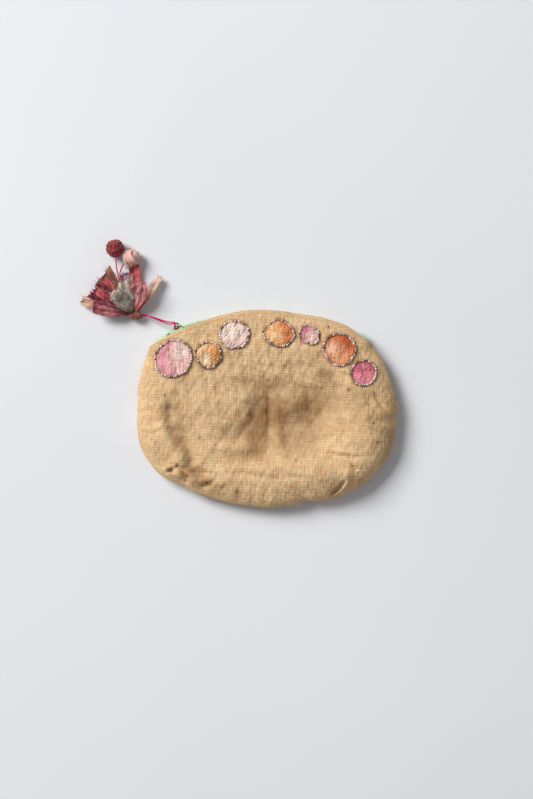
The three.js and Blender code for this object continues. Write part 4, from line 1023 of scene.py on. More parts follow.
def make_beads():
    """A ring is beads strung side by side, evenly along its length but for a little wander. Each is a short
    barrel round a bore: its profile turned about the way ahead."""
    finish = bead_finish()
    around = np.arange(BEAD_SIDES) / BEAD_SIDES * 2 * np.pi
    one, bead_points = quads(len(BEAD_RUN), BEAD_SIDES, True, True), len(BEAD_RUN) * BEAD_SIDES
    for index, (name, ((mx, my), given, _)) in enumerate(DOTS.items()):
        draw = np.random.default_rng(100 + index)
        fine = np.linspace(0, 2 * np.pi, 1441)
        r = ring_reach(given, fine)
        x, y = mx + r * np.cos(fine), my + r * np.sin(fine)
        length = np.concatenate([[0], np.cumsum(np.hypot(np.diff(x), np.diff(y)))])
        count = round(length[-1] / BEAD_PITCH)
        at = (np.arange(count) + draw.uniform(-0.06, 0.06, count)) / count * length[-1]
        phi = np.interp(at, length, fine)
        r = ring_reach(given, phi) + draw.uniform(-0.2, 0.2, count)
        x, y = mx + r * np.cos(phi), my + r * np.sin(phi)
        size = draw.uniform(0.9, 1.06, count)
        middle, up = over_front(x, y, BEAD_R * size + 0.12)
        ahead = unit(np.roll(middle, -1, 0) - np.roll(middle, 1, 0) + draw.normal(0, 0.35, (count, 3)))
        side = unit(np.cross(ahead, up))
        up = np.cross(side, ahead)
        out = (side[:, None, None] * np.cos(around)[None, None, :, None]
               + up[:, None, None] * np.sin(around)[None, None, :, None])
        barrels = (middle[:, None, None] + ahead[:, None, None] * BEAD_RUN[None, :, None, None]
                   + out * (BEAD_GIRTH[None, :, None, None] * size[:, None, None, None]))
        # each bead's tone, which the finish paints from shade through its own colour to highlight
        tone = np.repeat(draw.uniform(0, 1, count), bead_points)
        put("seed_beads_" + name, "pouch", (barrels.reshape(-1, 3), [copies(one, bead_points, count)]),
            finish, "seed_beads", ["beads_" + name], bead_shade_and_glint=tone)


# The zip

def arc_strip(line, thickness, first, last, stations):
    """A strip of cloth round the zip's middle: a line of (radius, height) points thickened to both sides and
    turned from one angle to another. Its outer edge is drawn in at one place and wanders at others. Returns
    the shell, and its cloth along the arc and across the strip."""
    line = np.array(line)
    ahead = unit(np.gradient(line, axis=0))
    out = np.stack([-ahead[:, 1], ahead[:, 0]], -1) * thickness / 2
    outline = np.concatenate([line + out, (line - out)[::-1]])
    run = np.concatenate([[0], np.cumsum(np.linalg.norm(np.diff(line, axis=0), axis=1))])
    angles = np.linspace(first, last, stations)
    tucked = np.exp(-((angles + 12.0) / 4.5) ** 2)
    left_end = np.exp(-((angles + 27.5) / 4.0) ** 2)
    flared = (0.35 * np.sin(angles * 2.9) - 0.5) * left_end + 0.2 * np.sin(angles * 2.1)
    loose = np.clip((outline[:, 0] - ZIP_EDGE_R) / 2.5, 0, 1)
    radius = outline[None, :, 0] - tucked[:, None] + flared[:, None] * loose
    points = on_zip(angles[:, None], radius, outline[None, :, 1])
    along = np.broadcast_to(np.radians(angles)[:, None] * ZIP_R, points.shape[:2])
    across = np.broadcast_to(np.concatenate([run, run[::-1]])[None], points.shape[:2])
    cloth = np.stack([along, across], -1).reshape(-1, 2)
    shell = np.concatenate([points.reshape(-1, 3), points[[0, -1]].mean(1)]), capped(stations, len(outline))
    return shell, np.concatenate([cloth, cloth[[0, -1]]])


def rounded_line(corners, radius, steps=5):
    """A line whose inner corners are rounded off: each becomes a short quadratic curve."""
    corners = np.array(corners, float)
    line = [corners[:1]]
    for a, b, c in zip(corners[:-2], corners[1:-1], corners[2:]):
        start = b + (a - b) * min(0.5, radius / np.linalg.norm(a - b))
        end = b + (c - b) * min(0.5, radius / np.linalg.norm(c - b))
        t = np.linspace(0, 1, steps)[:, None]
        line.append((1 - t) ** 2 * start + 2 * t * (1 - t) * b + t ** 2 * end)
    return np.concatenate([*line, corners[-1:]])


def tape_line(side):
    """A tape's middle from beside the coil to inside the hem, in (radius, height)."""
    level = (FRONT_HEM_Z if side > 0 else BACK_HEM_Z) - side * 0.6
    near, far = section(0, side * 2.2), section(0, side * 3.5)
    bend = [(far[0] - 0.9, level)] if side > 0 else [(far[0] + 0.25, far[1] - 0.9), (far[0] - 0.5, level)]
    return rounded_line([near, far, *bend, (ZIP_EDGE_R - HEM_OVER_TAPE, level)], 1.2)


def tape_finish():
    """Mint polyester tape: a fine close weave, with painted shade between its threads."""
    f = Finish("mint zip tape", Roughness=0.65, Sheen_Weight=0.25)
    height, warp, _, _ = plain_weave(f, TAPE_PITCH, 0.05)
    colour = f.mix(warp, srgb(204, 224, 190), srgb(226, 238, 210))
    # painted shade between the threads, where the weave is low
    colour = f.mix(f.between(height, 0.0, 0.45, 0.4, 0.0), colour, srgb(160, 206, 158))
    return f.done(colour, f.bump(height, 0.0001))


def enamel_finish():
    """Mint enamel on cast metal, with small wear where the metal shows."""
    f = Finish("mint enamel", Roughness=0.28, Coat_Weight=0.5, Coat_Roughness=0.12)
    worn = f.between(f.noise(f.place(), 900.0, 4.0), 0.64, 0.7)
    tone = f.mix(f.noise(f.place(), 160.0, 2.0), srgb(160, 202, 154), srgb(190, 222, 178))
    f.surface_set("Metallic", f.maths("MULTIPLY", worn, 0.8))
    return f.done(f.mix(worn, tone, srgb(182, 178, 160)), f.bump(f.noise(f.place(), 500.0, 2.0), 0.00006))


def coil_finish():
    """Mint nylon, a little uneven in colour."""
    f = Finish("mint nylon coil", Roughness=0.38, Specular_IOR_Level=0.5)
    colour = f.mix(f.noise(f.place(), 420.0, 3.0), srgb(164, 204, 156), srgb(196, 226, 182))
    return f.done(colour, f.bump(f.noise(f.place(), 1600.0), 0.00004))


def metal_finish():
    """Mint lacquer on metal, with scratches along it."""
    f = Finish("mint lacquered stop metal", Metallic=0.15, Roughness=0.4)
    scratched = f.noise(f.vector("MULTIPLY", f.place(), (1.0, 8.0, 1.0)), 700.0, 3.0)
    return f.done(f.mix(scratched, srgb(186, 220, 180), srgb(214, 238, 200)), f.bump(scratched, 0.00005))


def slab(outline, levels, bend):
    """A closed plate: an outline in (x, z) stacked at levels of (y, inset), drawn in towards its middle by
    the inset, with its two faces closed to their middles. bend turns (x, y, z) into a point."""
    outline = np.array(outline, float)
    middle = outline.mean(0)
    size = np.linalg.norm(outline - middle, axis=1, keepdims=True)
    rows = [np.insert(middle + (outline - middle) * (1 - inset / size), 1, y, axis=1) for y, inset in levels]
    ends = [[middle[0], levels[k][0], middle[1]] for k in (0, -1)]
    points = np.concatenate([*rows, ends])
    return bend(points[:, 0], points[:, 1], points[:, 2]), capped(len(levels), len(outline))


def soft_box(x, y, z, round_by, bend):
    """A block from low to high in x, y and z with rounded long edges and ends."""
    (x0, x1), (y0, y1), (z0, z1) = x, y, z
    turn = np.arange(24) / 24 * 2 * np.pi
    outline = np.stack([(x0 + x1) / 2 + (x1 - x0) / 2 * squared(np.cos(turn), 0.35),
                        (z0 + z1) / 2 + (z1 - z0) / 2 * squared(np.sin(turn), 0.35)], -1)
    levels = [(y0, round_by), (y0 + 0.3 * round_by, 0.3 * round_by), (y0 + round_by, 0),
              (y1 - round_by, 0), (y1 - 0.3 * round_by, 0.3 * round_by), (y1, round_by)]
    return slab(outline, levels, bend)


def at_angle(angle):
    """The bend of something drawn about a place on the zip."""
    return lambda x, y, z: from_zip(angle, x, y, z)


def make_coils():
    """Each row is one wire wound into flat loops that reach past the middle between the other row's: across
    follows a cosine and depth a sine, one turn each pitch. A cord runs through its loops."""
    finish = coil_finish()
    start, end = (math.radians(a) * ZIP_R for a in ROW)
    turns = int((end - start - 1.6) / COIL_PITCH)
    t = np.linspace(0, turns, turns * 14 + 1)
    wave = 2 * np.pi * t
    y = COIL_DEPTH * np.sin(wave) * (1.0 + 0.15 * np.cos(wave))
    sides = 6
    angle = np.arange(sides) / sides * 2 * np.pi
    cord_x = np.linspace(start + 0.4, end - 0.2, 200)
    for name, side, behind in (("front", 1, 0.25), ("back", -1, 0.75)):
        x = start + 0.8 + (t + behind) * COIL_PITCH
        z = side * (COIL_MIDDLE + COIL_REACH * np.cos(wave))
        path = from_zip(0.0, x, y, z)
        hub = from_zip(0.0, x, y * 0, z * 0 + side * COIL_MIDDLE)
        ahead = unit(np.gradient(path, axis=0))
        out = path - hub
        out = unit(out - (out * ahead).sum(-1, keepdims=True) * ahead)
        beside = np.cross(ahead, out)
        ring = path[:, None] + WIRE_R * (out[:, None] * np.cos(angle)[None, :, None]
                                         - beside[:, None] * np.sin(angle)[None, :, None])
        coil = (np.concatenate([ring.reshape(-1, 3), path[:1], path[-1:]]), capped(len(path), sides))
        cord = tube(from_zip(0.0, cord_x, cord_x * 0, cord_x * 0 + side * 1.25), UP, CORD_R, sides)
        put("coil_" + name, "pouch", joined([coil, cord]), finish, "zip_coil", ["zip_coil_" + name])


# the tapes' ends, folded across the two rows, and the web below them that closes the left end: first and last
# angle, how far out of the zip's face, and how far across
TAPE_ENDS = {"left": (-30.3, -26.5, 1.15, -2.4), "right": (26.6, 28.8, 1.25, -3.0),
             "web": (-30.6, -25.8, -1.5, -3.2)}
# where the ends are turned in past the zip, by angle about the pouch's middle: they close the mouth between
# the two hems, and the right one starts clear of the slider at the end of its travel
TAPE_TUCKS = {"left": (145.5, 155.5), "right": (37.4, 29.0)}


def make_tapes():
    """Two tapes bent from the coils into the hems, with their folded and turned-in ends."""
    finish = tape_finish()
    for name, side in (("front", 1), ("back", -1)):
        shell, cloth = arc_strip(tape_line(side), TAPE, MOUTH[0] + TAPE_EDGE, MOUTH[1] - TAPE_EDGE, 160)
        put("tape_" + name, "pouch", shell, finish, "zip_tape", ["zip_tape_" + name], cloth)
    for name, (first, last, y, far) in TAPE_ENDS.items():
        line = np.stack(section(y, np.linspace(2.6, far, 12)), -1)
        shell, cloth = arc_strip(line, 0.4, first, last, 24)
        put("tape_end_" + name, "pouch", shell, finish, "zip_tape", (), cloth)
    for name, (first, last) in TAPE_TUCKS.items():
        shell, cloth = tape_tuck(np.radians(np.linspace(first, last, 30))[:, None])
        put("tape_tuck_" + name, "pouch", shell, finish, "zip_tape", (), cloth)


def tape_tuck(theta):
    """A strip that stands between the two hems, just inside their edge, and bows in by a sine of its height.
    Returns the shell and its cloth."""
    t = np.linspace(0, 1, 9)[None, :]
    low, high = back_hem(theta) - 0.2, front_hem(theta) + 0.2
    z = low + (high - low) * t
    out = reach(theta) - 1.6 - 0.08 * (high - low) * np.sin(np.pi * t)
    loops = np.concatenate([polar(out, theta, z), polar(out - 0.5, theta, z)[:, ::-1]], 1)
    stations, sides = loops.shape[:2]
    points = np.concatenate([loops.reshape(-1, 3), loops[[0, -1]].mean(1)])
    cloth = np.stack([theta.ravel().repeat(sides) * 80, loops[..., 2].ravel()], -1)
    return (points, capped(stations, sides)), np.concatenate([cloth, cloth[[0, -1]]])


def make_stops():
    """Small blocks pressed over the rows' ends: one on each row at the left, one across both at the right."""
    finish = metal_finish()
    a_degree = ZIP_R * math.pi / 180
    left, right = ROW[0] * a_degree - 2.7, ROW[1] * a_degree + 0.3
    for name, x, z in (("top_stop_front", left, (0.75, 2.1)), ("top_stop_back", left, (-2.1, -0.75)),
                       ("bottom_stop", right, (-2.1, 2.1))):
        shell = soft_box((x, x + STOP_LENGTH), (-STOP_DEPTH, STOP_DEPTH), z, 0.3, at_angle(0.0))
        put("metal_" + name, "pouch", shell, finish, "stop_metal", ["zip_" + name])


# half of a plate's outline, from its back to its front, and its levels: out of the zip's face and inset
HALF_PLATE = [(-5.0, 1.5), (-4.4, 2.6), (-3.7, 3.2), (0.0, 3.2), (2.6, 3.2), (4.4, 3.0), (5.0, 2.5)]
PLATE_BACK, PLATE_FRONT = -5.15, 5.0
PLATE_LEVELS = [(1.0, 0.25), (1.08, 0.06), (1.25, 0.0), (1.5, 0.05), (1.7, 0.25), (1.8, 0.6), (1.84, 1.4)]
BRIDGE_HALF, BRIDGE_FOOT, BRIDGE_WIDE, BRIDGE_THICK = 3.1, 1.65, 0.7, 0.38


def make_slider():
    """Two tapered plates with lips round the coils, the divider between them and a bridge for the thread."""
    bend = at_angle(SLIDER_AT)
    corner = np.array([(x, -z) for x, z in HALF_PLATE] + [(PLATE_FRONT, 0.0)] + HALF_PLATE[::-1]
                      + [(PLATE_BACK, 0.0)])
    dense = np.linspace(0, len(corner), 64, endpoint=False)
    outline = np.stack([np.interp(dense, np.arange(len(corner) + 1), np.append(corner[:, n], corner[0, n]))
                        for n in (0, 1)], -1)
    shells = [slab(outline, [(out * y, inset) for y, inset in PLATE_LEVELS], bend) for out in (1, -1)]
    # the divider, cut back to its roots so that the coils pass between them
    for y in ((-1.2, -0.82), (0.82, 1.2)):
        shells.append(soft_box((-4.5, -2.8), y, (-0.45, 0.45), 0.1, bend))
    for out in (1, -1):
        for across in (1, -1):
            y, z = sorted((out * 0.6, out * 1.15)), sorted((across * 2.45, across * 3.2))
            shells.append(soft_box((-2.8, 2.4), y, z, 0.18, bend))
    shells.append(bridge(bend))
    put("enamel_slider", "slider", joined(shells), enamel_finish(), "mint_enamel", ["zip_slider"])


def bridge(bend):
    """The strap that the loop hangs on: a squared-off flat section carried over a squared-off arch."""
    turn = np.linspace(0, np.pi, 25)
    x = BRIDGE_AT - BRIDGE_HALF * squared(np.cos(turn), 0.6)
    y = BRIDGE_FOOT + (STRAP_MIDDLE - BRIDGE_FOOT) * np.sin(turn) ** 0.5
    line = np.stack([x, y, x * 0], -1)
    ahead = unit(np.gradient(line, axis=0))
    beside, out = np.array([0, 0, 1]), np.stack([-ahead[:, 1], ahead[:, 0], x * 0], -1)
    angle = np.arange(12) / 12 * 2 * np.pi
    across = BRIDGE_WIDE * squared(np.cos(angle), 0.6)
    above = BRIDGE_THICK * squared(np.sin(angle), 0.6)
    rings = line[:, None] + beside * across[None, :, None] + out[:, None] * above[None, :, None]
    points = np.concatenate([rings.reshape(-1, 3), line[[0, -1]]])
    return bend(points[:, 0], points[:, 1], points[:, 2]), capped(25, 12)


# Stitches and loose fibres

# the row of stitches: how far inside the edge, and its first and last angle about the pouch's middle
STITCH_INSIDE, STITCH_FIRST, STITCH_LAST = 2.5, 149, 37
STITCH_PITCH, STITCH_HALF, STITCH_R = 2.2, 0.7, 0.22
# how many flax hairs there are, and the angle and length of the one that the picture shows on its own
FIBRES, LONE_FIBRE = 46, (0.03, 7.0)


def make_stitches():
    """A row of topstitching just inside the zip's edge: each stitch is a short thread that dips into the
    linen at both ends, by the fourth power of the way along it."""
    f = Finish("linen sewing thread", Roughness=0.7, Sheen_Weight=0.3)
    colour = f.mix(f.noise(f.place(), 900.0), srgb(184, 138, 88), srgb(232, 190, 138))
    finish = f.done(colour, f.bump(f.noise(f.place(), 4000.0), 0.0001))
    draw = np.random.default_rng(7)
    shells = []
    t = np.linspace(-1, 1, 7)
    theta = np.radians(np.linspace(STITCH_FIRST, STITCH_LAST, 2000))
    line = (reach(theta) - STITCH_INSIDE)[:, None] * np.stack([np.cos(theta), np.sin(theta)], -1)
    run = np.concatenate([[0], np.cumsum(np.linalg.norm(np.diff(line, axis=0), axis=1))])
    for at in np.arange(1.5, run[-1] - 1.5, STITCH_PITCH):
        along = at + STITCH_HALF * t + draw.uniform(-0.1, 0.1)
        x, y = (np.interp(along, run, line[:, n]) + draw.uniform(-0.12, 0.12) for n in (0, 1))
        path, _ = over_front(x, y, 0.22 * (1 - t ** 4) - 0.14)
        shells.append(tube(path, UP, STITCH_R * (1 - 0.5 * t ** 6), 6))
    put("topstitching", "pouch", joined(shells), finish, "linen")


def make_loose_fibres():
    """Fine flax hairs that stand off the edge of the linen, each a short curl."""
    f = Finish("loose flax", Roughness=0.8)
    colour = f.mix(f.noise(f.place(), 300.0), srgb(206, 168, 120), srgb(236, 208, 166))
    finish = f.done(colour, f.bump(f.noise(f.place(), 5000.0), 0.00005))
    draw = np.random.default_rng(11)
    shells = []
    t = np.linspace(0, 1, 12)
    for n in range(FIBRES):
        theta, size = (draw.uniform(0, 2 * np.pi), draw.uniform(1.5, 4.0)) if n else LONE_FIBRE
        bend = draw.normal(0, 1.0) + t * draw.normal(0, 1.5)
        out = reach(np.array([theta]))[0] - 1.0 + size * t * np.cos(bend * 0.6)
        across = size * 0.7 * t * np.sin(bend)
        z = front_height(theta, np.array([1.0]))[0] - 0.3 + draw.uniform(-0.3, 0.8) * size * t
        path = np.stack([out * math.cos(theta) - across * math.sin(theta),
                         out * math.sin(theta) + across * math.cos(theta), z], -1)
        shells.append(tube(path, np.array([0.05, 0.1, 1.0]), 0.1 * (1.2 - t), 4))
    put("loose_fibres", "pouch", joined(shells), finish, "linen")


# The cloth flower, the berry and the wrapped bud

# how steeply each layer of petals rises at its base, in degrees
LAYERS = [-3, 12, 36, 50]
# azimuth, layer, length, half-width, twist, curl and how the tip is cut
PETALS = {
    "rose": (169, 1, 30, 4.4, 0, 0.25, "cut"),
    "tan": (164, 0, 38, 3.2, 0, 0.25, "frayed"),
    "plum": (155, 1, 34, 2.6, 10, -0.1, "frayed"),
    "crimson": (147, 2, 34, 2.7, 0, 0.35, "frayed"),
    "wine": (140, 1, 35, 2.9, 0, 0.35, "cut"),
    "coral": (129, 0, 36, 4.2, 0, 0.25, "cut"),
    "brown": (119, 1, 38, 3.0, 45, 0, "cut"),
    "sage_left": (131, 3, 26, 4.9, 0, -0.2, "round"),
    "mauve": (104, 0, 31, 4.2, 0, 0.2, "round"),
    "sage_right": (106, 2, 26.5, 5.2, 0, -0.2, "frayed"),
    "red": (91, 0, 35, 3.6, 0, 0.2, "cut"),
    "pink": (80, 2, 26, 5.6, 0, 0.1, "pinked"),
    "salmon": (57, 0, 32, 3.0, 30, 0, "pinked"),
}
# each petal's dyes: ground, base (partly dye, partly painted shade where the petals crowd) and edge
PETAL_DYES = {
    "rose": ((186, 116, 120), (120, 52, 60), (156, 58, 66)),
    "tan": ((200, 152, 130), (120, 66, 62), (214, 180, 150)),
    "plum": ((132, 34, 62), (66, 18, 32), (160, 60, 84)),
    "crimson": ((206, 48, 68), (84, 20, 32), (226, 120, 116)),
    "wine": ((118, 36, 48), (50, 18, 26), (176, 92, 92)),
    "coral": ((196, 88, 94), (96, 36, 42), (132, 70, 58)),
    "brown": ((122, 62, 50), (58, 28, 26), (172, 130, 96)),
    "sage_left": ((186, 176, 164), (84, 70, 62), (206, 190, 166)),
    "mauve": ((190, 158, 176), (130, 88, 112), (208, 190, 202)),
    "sage_right": ((190, 184, 174), (88, 76, 68), (206, 184, 146)),
    "red": ((222, 96, 102), (150, 50, 60), (226, 130, 124)),
    "pink": ((236, 150, 152), (226, 124, 118), (190, 92, 96)),
    "salmon": ((246, 190, 170), (190, 120, 104), (250, 214, 196)),
}
# how much further along these petals their base's dye and painted shade reach, and the share of its rectangle
# that one fills
BASE_DYE_AND_SHADE_REACH = {"crimson": 0.5, "wine": 0.4, "plum": 0.32}


def petal_points(azimuth, layer, length, half, twist, curl, cut, seed, across=17, along=34):
    """A strip of cloth out from the flower's base: it widens by a smooth step, turns about its own length,
    curls up by the square of the distance from its middle line, and waves; its tip is cut, rounded, pinked
    or frayed."""
    draw = np.random.default_rng(seed)
    u = np.linspace(-1, 1, across)[None, :]
    v = np.linspace(0, 1, along)[:, None]
    teeth = np.abs(np.mod(u * 3 + 0.5, 1) - 0.5) * 2
    tip = {"cut": 0.02 * u, "round": -0.09 * u ** 4, "pinked": -0.03 * teeth,
           "frayed": 0.035 * draw.normal(0, 1, (1, across))}[cut]
    run = v * (1 + tip * v ** 3 + 0.012 * draw.normal(0, 1, (1, across)) * v ** 8)
    distance = 2.0 + (length - 2.0) * run
    width = (0.9 + (half - 0.9) * smooth(run / 0.62)) * (1 - 0.12 * smooth((run - 0.85) / 0.15))
    if cut == "pinked":
        teeth = np.abs(np.mod(run * 11, 1) - 0.5) * 2 - 0.5
        width = width * (1 + 0.09 * teeth * smooth(run * 3) * np.abs(u) ** 3)
    centre = from_flower(azimuth, LAYERS[layer], distance)
    ahead = unit(centre - FLOWER_AT)
    a = math.radians(azimuth)
    level = np.array([math.sin(a), -math.cos(a), 0])
    turn = -np.radians(twist) * smooth((distance - 6) / 16)[..., None]
    side = level * np.cos(turn) + np.cross(ahead, np.broadcast_to(level, ahead.shape)) * np.sin(turn)
    face = np.cross(side, ahead)
    phase = run * draw.uniform(6, 10) + draw.uniform(0, 6) + u * draw.uniform(-1.6, 1.6)
    wave = 0.8 * np.sin(phase) * smooth(run * 1.6)
    pleat = 0.7 * np.cos(u * draw.uniform(5, 8) + draw.uniform(0, 6)) * smooth(run * 2) * (1 - 0.4 * run)
    crumple = 0.5 * ripple(u * half + 0 * run, run * length, 5.5, seed + 50) * smooth(run * 2)
    lift = curl * width * u ** 2 * smooth(run / 0.5) + wave + pleat * half / 5 + crumple
    points = centre + side * (u * width)[..., None] + face * lift[..., None]
    points[..., 2] = np.maximum(points[..., 2], 0.4)
    return points


def thick_sheet(points, thickness):
    """A grid of points as a closed sheet: moved half its thickness to both sides along its normal."""
    out = unit(np.cross(np.gradient(points, axis=0), np.gradient(points, axis=1))) * thickness / 2
    loops = np.concatenate([points + out, (points - out)[:, ::-1]], 1)
    rows, columns = loops.shape[:2]
    return np.concatenate([loops.reshape(-1, 3), loops[[0, -1]].mean(1)]), capped(rows, columns)


def petal_finish(name, ground, base, edge):
    """Thin dyed cloth: fine threads along the petal, a darker base that is partly dye and partly painted
    shade among the petals, a different edge, blotches, and pale specks that are painted highlights."""
    f = Finish("petal cloth " + name, Roughness=0.7, Sheen_Weight=0.15, Specular_IOR_Level=0.2)
    shadow, light, painted_glint = ([min(255, by * c + add) for c in ground]
                            for by, add in ((0.72, 0), (1.12, 16), (0.6, 100)))
    blotch = f.noise(f.place(), 340.0, 4.0)
    fibres = f.noise(f.vector("MULTIPLY", f.cloth(), (1500.0, 120.0, 1.0)), 1.0, 3.0)
    colour = f.mix(f.between(fibres, 0.35, 0.65), srgb(*shadow), srgb(*light))
    wandering = f.maths("ADD", f.shade("along"), f.between(blotch, 0.25, 0.75, -0.18, 0.18))
    deep = BASE_DYE_AND_SHADE_REACH.get(name, 0.0)
    # the base: partly dye, partly painted shade where the petals crowd
    colour = f.mix(f.between(wandering, 0.6 + deep, 0.12 + deep), colour, srgb(*base))
    rough_edge = f.maths("ADD", f.shade("aside"), f.between(blotch, 0.25, 0.75, -0.2, 0.2))
    colour = f.mix(f.between(rough_edge, 0.7, 1.0), colour, srgb(*edge))
    # painted highlights: pale specks where blotches and fibres meet
    pale = f.maths("MULTIPLY", f.between(blotch, 0.56, 0.68), f.between(fibres, 0.4, 0.6))
    colour = f.mix(f.maths("MULTIPLY", pale, 0.5), colour, srgb(*painted_glint))
    crumple = f.bump(f.noise(f.place(), 520.0, 4.0), 0.0006)
    return f.done(colour, f.bump(fibres, 0.0002, crumple))


def petal_threads(points, seed, count):
    """Threads that have come loose from a petal: they lie along its face, bend a little, and run out past its
    tip and edges. Returns the shell, and its along and aside."""
    draw = np.random.default_rng(seed)
    along, across = points.shape[:2]
    up = unit(np.cross(np.gradient(points, axis=1), np.gradient(points, axis=0)))
    up *= np.sign(up[..., 2:])
    ahead = unit(points[-1, across // 2] - points[-5, across // 2])
    sides = 5
    shells, shades = [], []
    t = np.linspace(0, 1, 12)
    size = len(t) * sides + 2
    for n in range(count):
        start, end = draw.uniform(0.12, 0.6), draw.uniform(0.8, 1.12)
        edge = draw.choice([-1.0, 1.0]) if n % 3 == 0 else draw.uniform(-0.9, 0.9)
        on_edge = abs(edge) == 1
        u = np.clip(edge + draw.normal(0, 0.12) * t, -1.0, 1.0)
        v = start + (end - start) * t
        i, j = np.minimum(v, 1) * (along - 1), (u + 1) / 2 * (across - 1)
        a, b = np.minimum(i.astype(int), along - 2), np.minimum(j.astype(int), across - 2)
        p, q = (i - a)[:, None], (j - b)[:, None]
        left, right = (points[a, b + k] * (1 - p) + points[a + 1, b + k] * p for k in (0, 1))
        place = left * (1 - q) + right * q
        beyond = np.maximum(v - 1, 0)[:, None] * 28
        aside = unit(np.cross(ahead, UP)) * (edge if on_edge else 0.3 * edge)
        wander = 0.18 * np.sin(t * draw.uniform(6, 14) + draw.uniform(0, 6))[:, None]
        above = up[a, b] * (0.3 + 0.1 * draw.normal())
        place = place + above + beyond * (ahead + draw.normal(0, 0.35, 3) * beyond / 3)
        stray = draw.uniform(0.1, 0.9) * t ** 2 if on_edge else 0 * t
        place = place + aside * (wander + stray[:, None])
        place[:, 2] = np.maximum(place[:, 2], 0.35)
        radius = draw.uniform(0.12, 0.2) * (1.1 - 0.7 * t ** 3)
        shells.append(tube(place, np.array([0.1, 0.2, 1.0]), radius, sides))
        middle = (start + end) / 2 + draw.normal(0, 0.15)
        shades.append(np.stack([np.full(size, middle), np.full(size, draw.choice([0.3, 0.6, 1.0]))]))
    return joined(shells), np.concatenate(shades, 1)


def make_petals():
    """Each petal and, as a piece beside it, its loose threads in the same dyes."""
    for index, (name, shape) in enumerate(PETALS.items()):
        _, _, length, half, *_ = shape
        slot = "petal_" + name.split("_")[0]
        points = petal_points(*shape, 200 + index)
        along, across = points.shape[:2]
        v, u = np.meshgrid(np.linspace(0, 1, along), np.linspace(-1, 1, across), indexing="ij")
        u, v = (np.concatenate([part, part[:, ::-1]], 1).ravel() for part in (u, v))
        cloth = np.concatenate([np.stack([u * half, v * length], -1), [[0, 0], [0, length]]])
        u, v = np.append(u, [0.0, 0.0]), np.append(v, [0.0, 0.0])
        aside = np.maximum(np.abs(u), (v - 0.3) / 0.7)
        finish = petal_finish(name, *PETAL_DYES[name])
        piece = put("cloth_petal_" + name, "slider", thick_sheet(points, PETAL), finish, slot,
                    ["petal_" + name], cloth, along=v, aside=aside)
        shell, (middle, aside) = petal_threads(points, 300 + index, 46 if "sage" in name else 24)
        put("petal_threads_" + name, "slider", shell, finish, slot, (), shell[0][:, :2], along=middle,
            aside=aside)


def ball(centre, size, rows=48, columns=72):
    """A closed ball: its radius is size(direction) in every direction, from pole to pole along Z."""
    lat = np.linspace(-np.pi / 2, np.pi / 2, rows + 2)[1:-1, None]
    lon = np.arange(columns) / columns * 2 * np.pi
    ring = np.stack([np.cos(lat) * np.cos(lon), np.cos(lat) * np.sin(lon), np.sin(lat) + 0 * lon], -1)
    way = np.concatenate([ring.reshape(-1, 3), [[0, 0, -1], [0, 0, 1]]])
    return centre + way * size(way)[:, None], capped(rows, columns), way


def spread_round(count):
    """Directions spread evenly over a ball along a golden spiral."""
    k = np.arange(count) + 0.5
    z = 1 - 2 * k / count
    turn = k * math.pi * (3 - math.sqrt(5))
    return np.stack([np.sqrt(1 - z * z) * np.cos(turn), np.sqrt(1 - z * z) * np.sin(turn), z], -1)


def make_berry():
    """A ball of tight yarn knots: small rings of yarn lie all over a core, each tilted its own way; the core
    is painted dark as the shade between the knots.
    """
    draw = np.random.default_rng(400)
    count, round_ring, round_yarn = 170, 8, 6
    way = unit(spread_round(count) + draw.normal(0, 0.06, (count, 3)))
    place = RED_BUD_AT + way * (BUD_R - 0.5) * draw.uniform(0.92, 1.04, (count, 1))
    lean = unit(way + draw.normal(0, 0.45, (count, 3)))
    first = unit(np.cross(lean, [0.3, 0.2, 1.0]))
    second = np.cross(lean, first)
    a = (np.arange(round_ring) / round_ring * 2 * np.pi)[None, :, None, None]
    b = (np.arange(round_yarn) / round_yarn * 2 * np.pi)[None, None, :, None]
    size = draw.uniform(0.85, 1.2, count)[:, None, None, None]
    out = first[:, None, None] * np.cos(a) + second[:, None, None] * np.sin(a)
    rings = place[:, None, None] + size * (out * (KNOT_R + YARN_R * np.cos(b))
                                           + lean[:, None, None] * YARN_R * np.sin(b))
    knot_points = round_ring * round_yarn
    faces = copies(quads(round_ring, round_yarn, True, True), knot_points, count)

    def core_size(way):
        return 5.15 + 0.25 * np.sin(9 * way[:, 0]) * np.sin(9 * way[:, 1])

    core, core_faces, _ = ball(RED_BUD_AT, core_size, 24, 36)
    # the knots get their own tones, and the core 0, the darkest: painted shade in the gaps between knots
    tone = np.concatenate([np.repeat(draw.uniform(0.25, 1, count), knot_points), np.zeros(len(core))])
    shell = joined([(rings.reshape(-1, 3), [faces]), (core, core_faces)])
    f = Finish("knotted crimson yarn", Roughness=0.7, Sheen_Weight=0.4)
    fibres = f.noise(f.place(), 2600.0, 3.0)
    colour = f.mix(f.shade("knot"), srgb(70, 8, 18), srgb(190, 48, 62))
    # painted highlights on the fibres
    colour = f.mix(f.between(fibres, 0.5, 0.7, 0.0, 0.4), colour, srgb(222, 96, 98))
    finish = f.done(colour, f.bump(fibres, 0.0003))
    berry = put("berry", "slider", shell, finish, "bud_yarn", ["bud_red"], knot=tone)


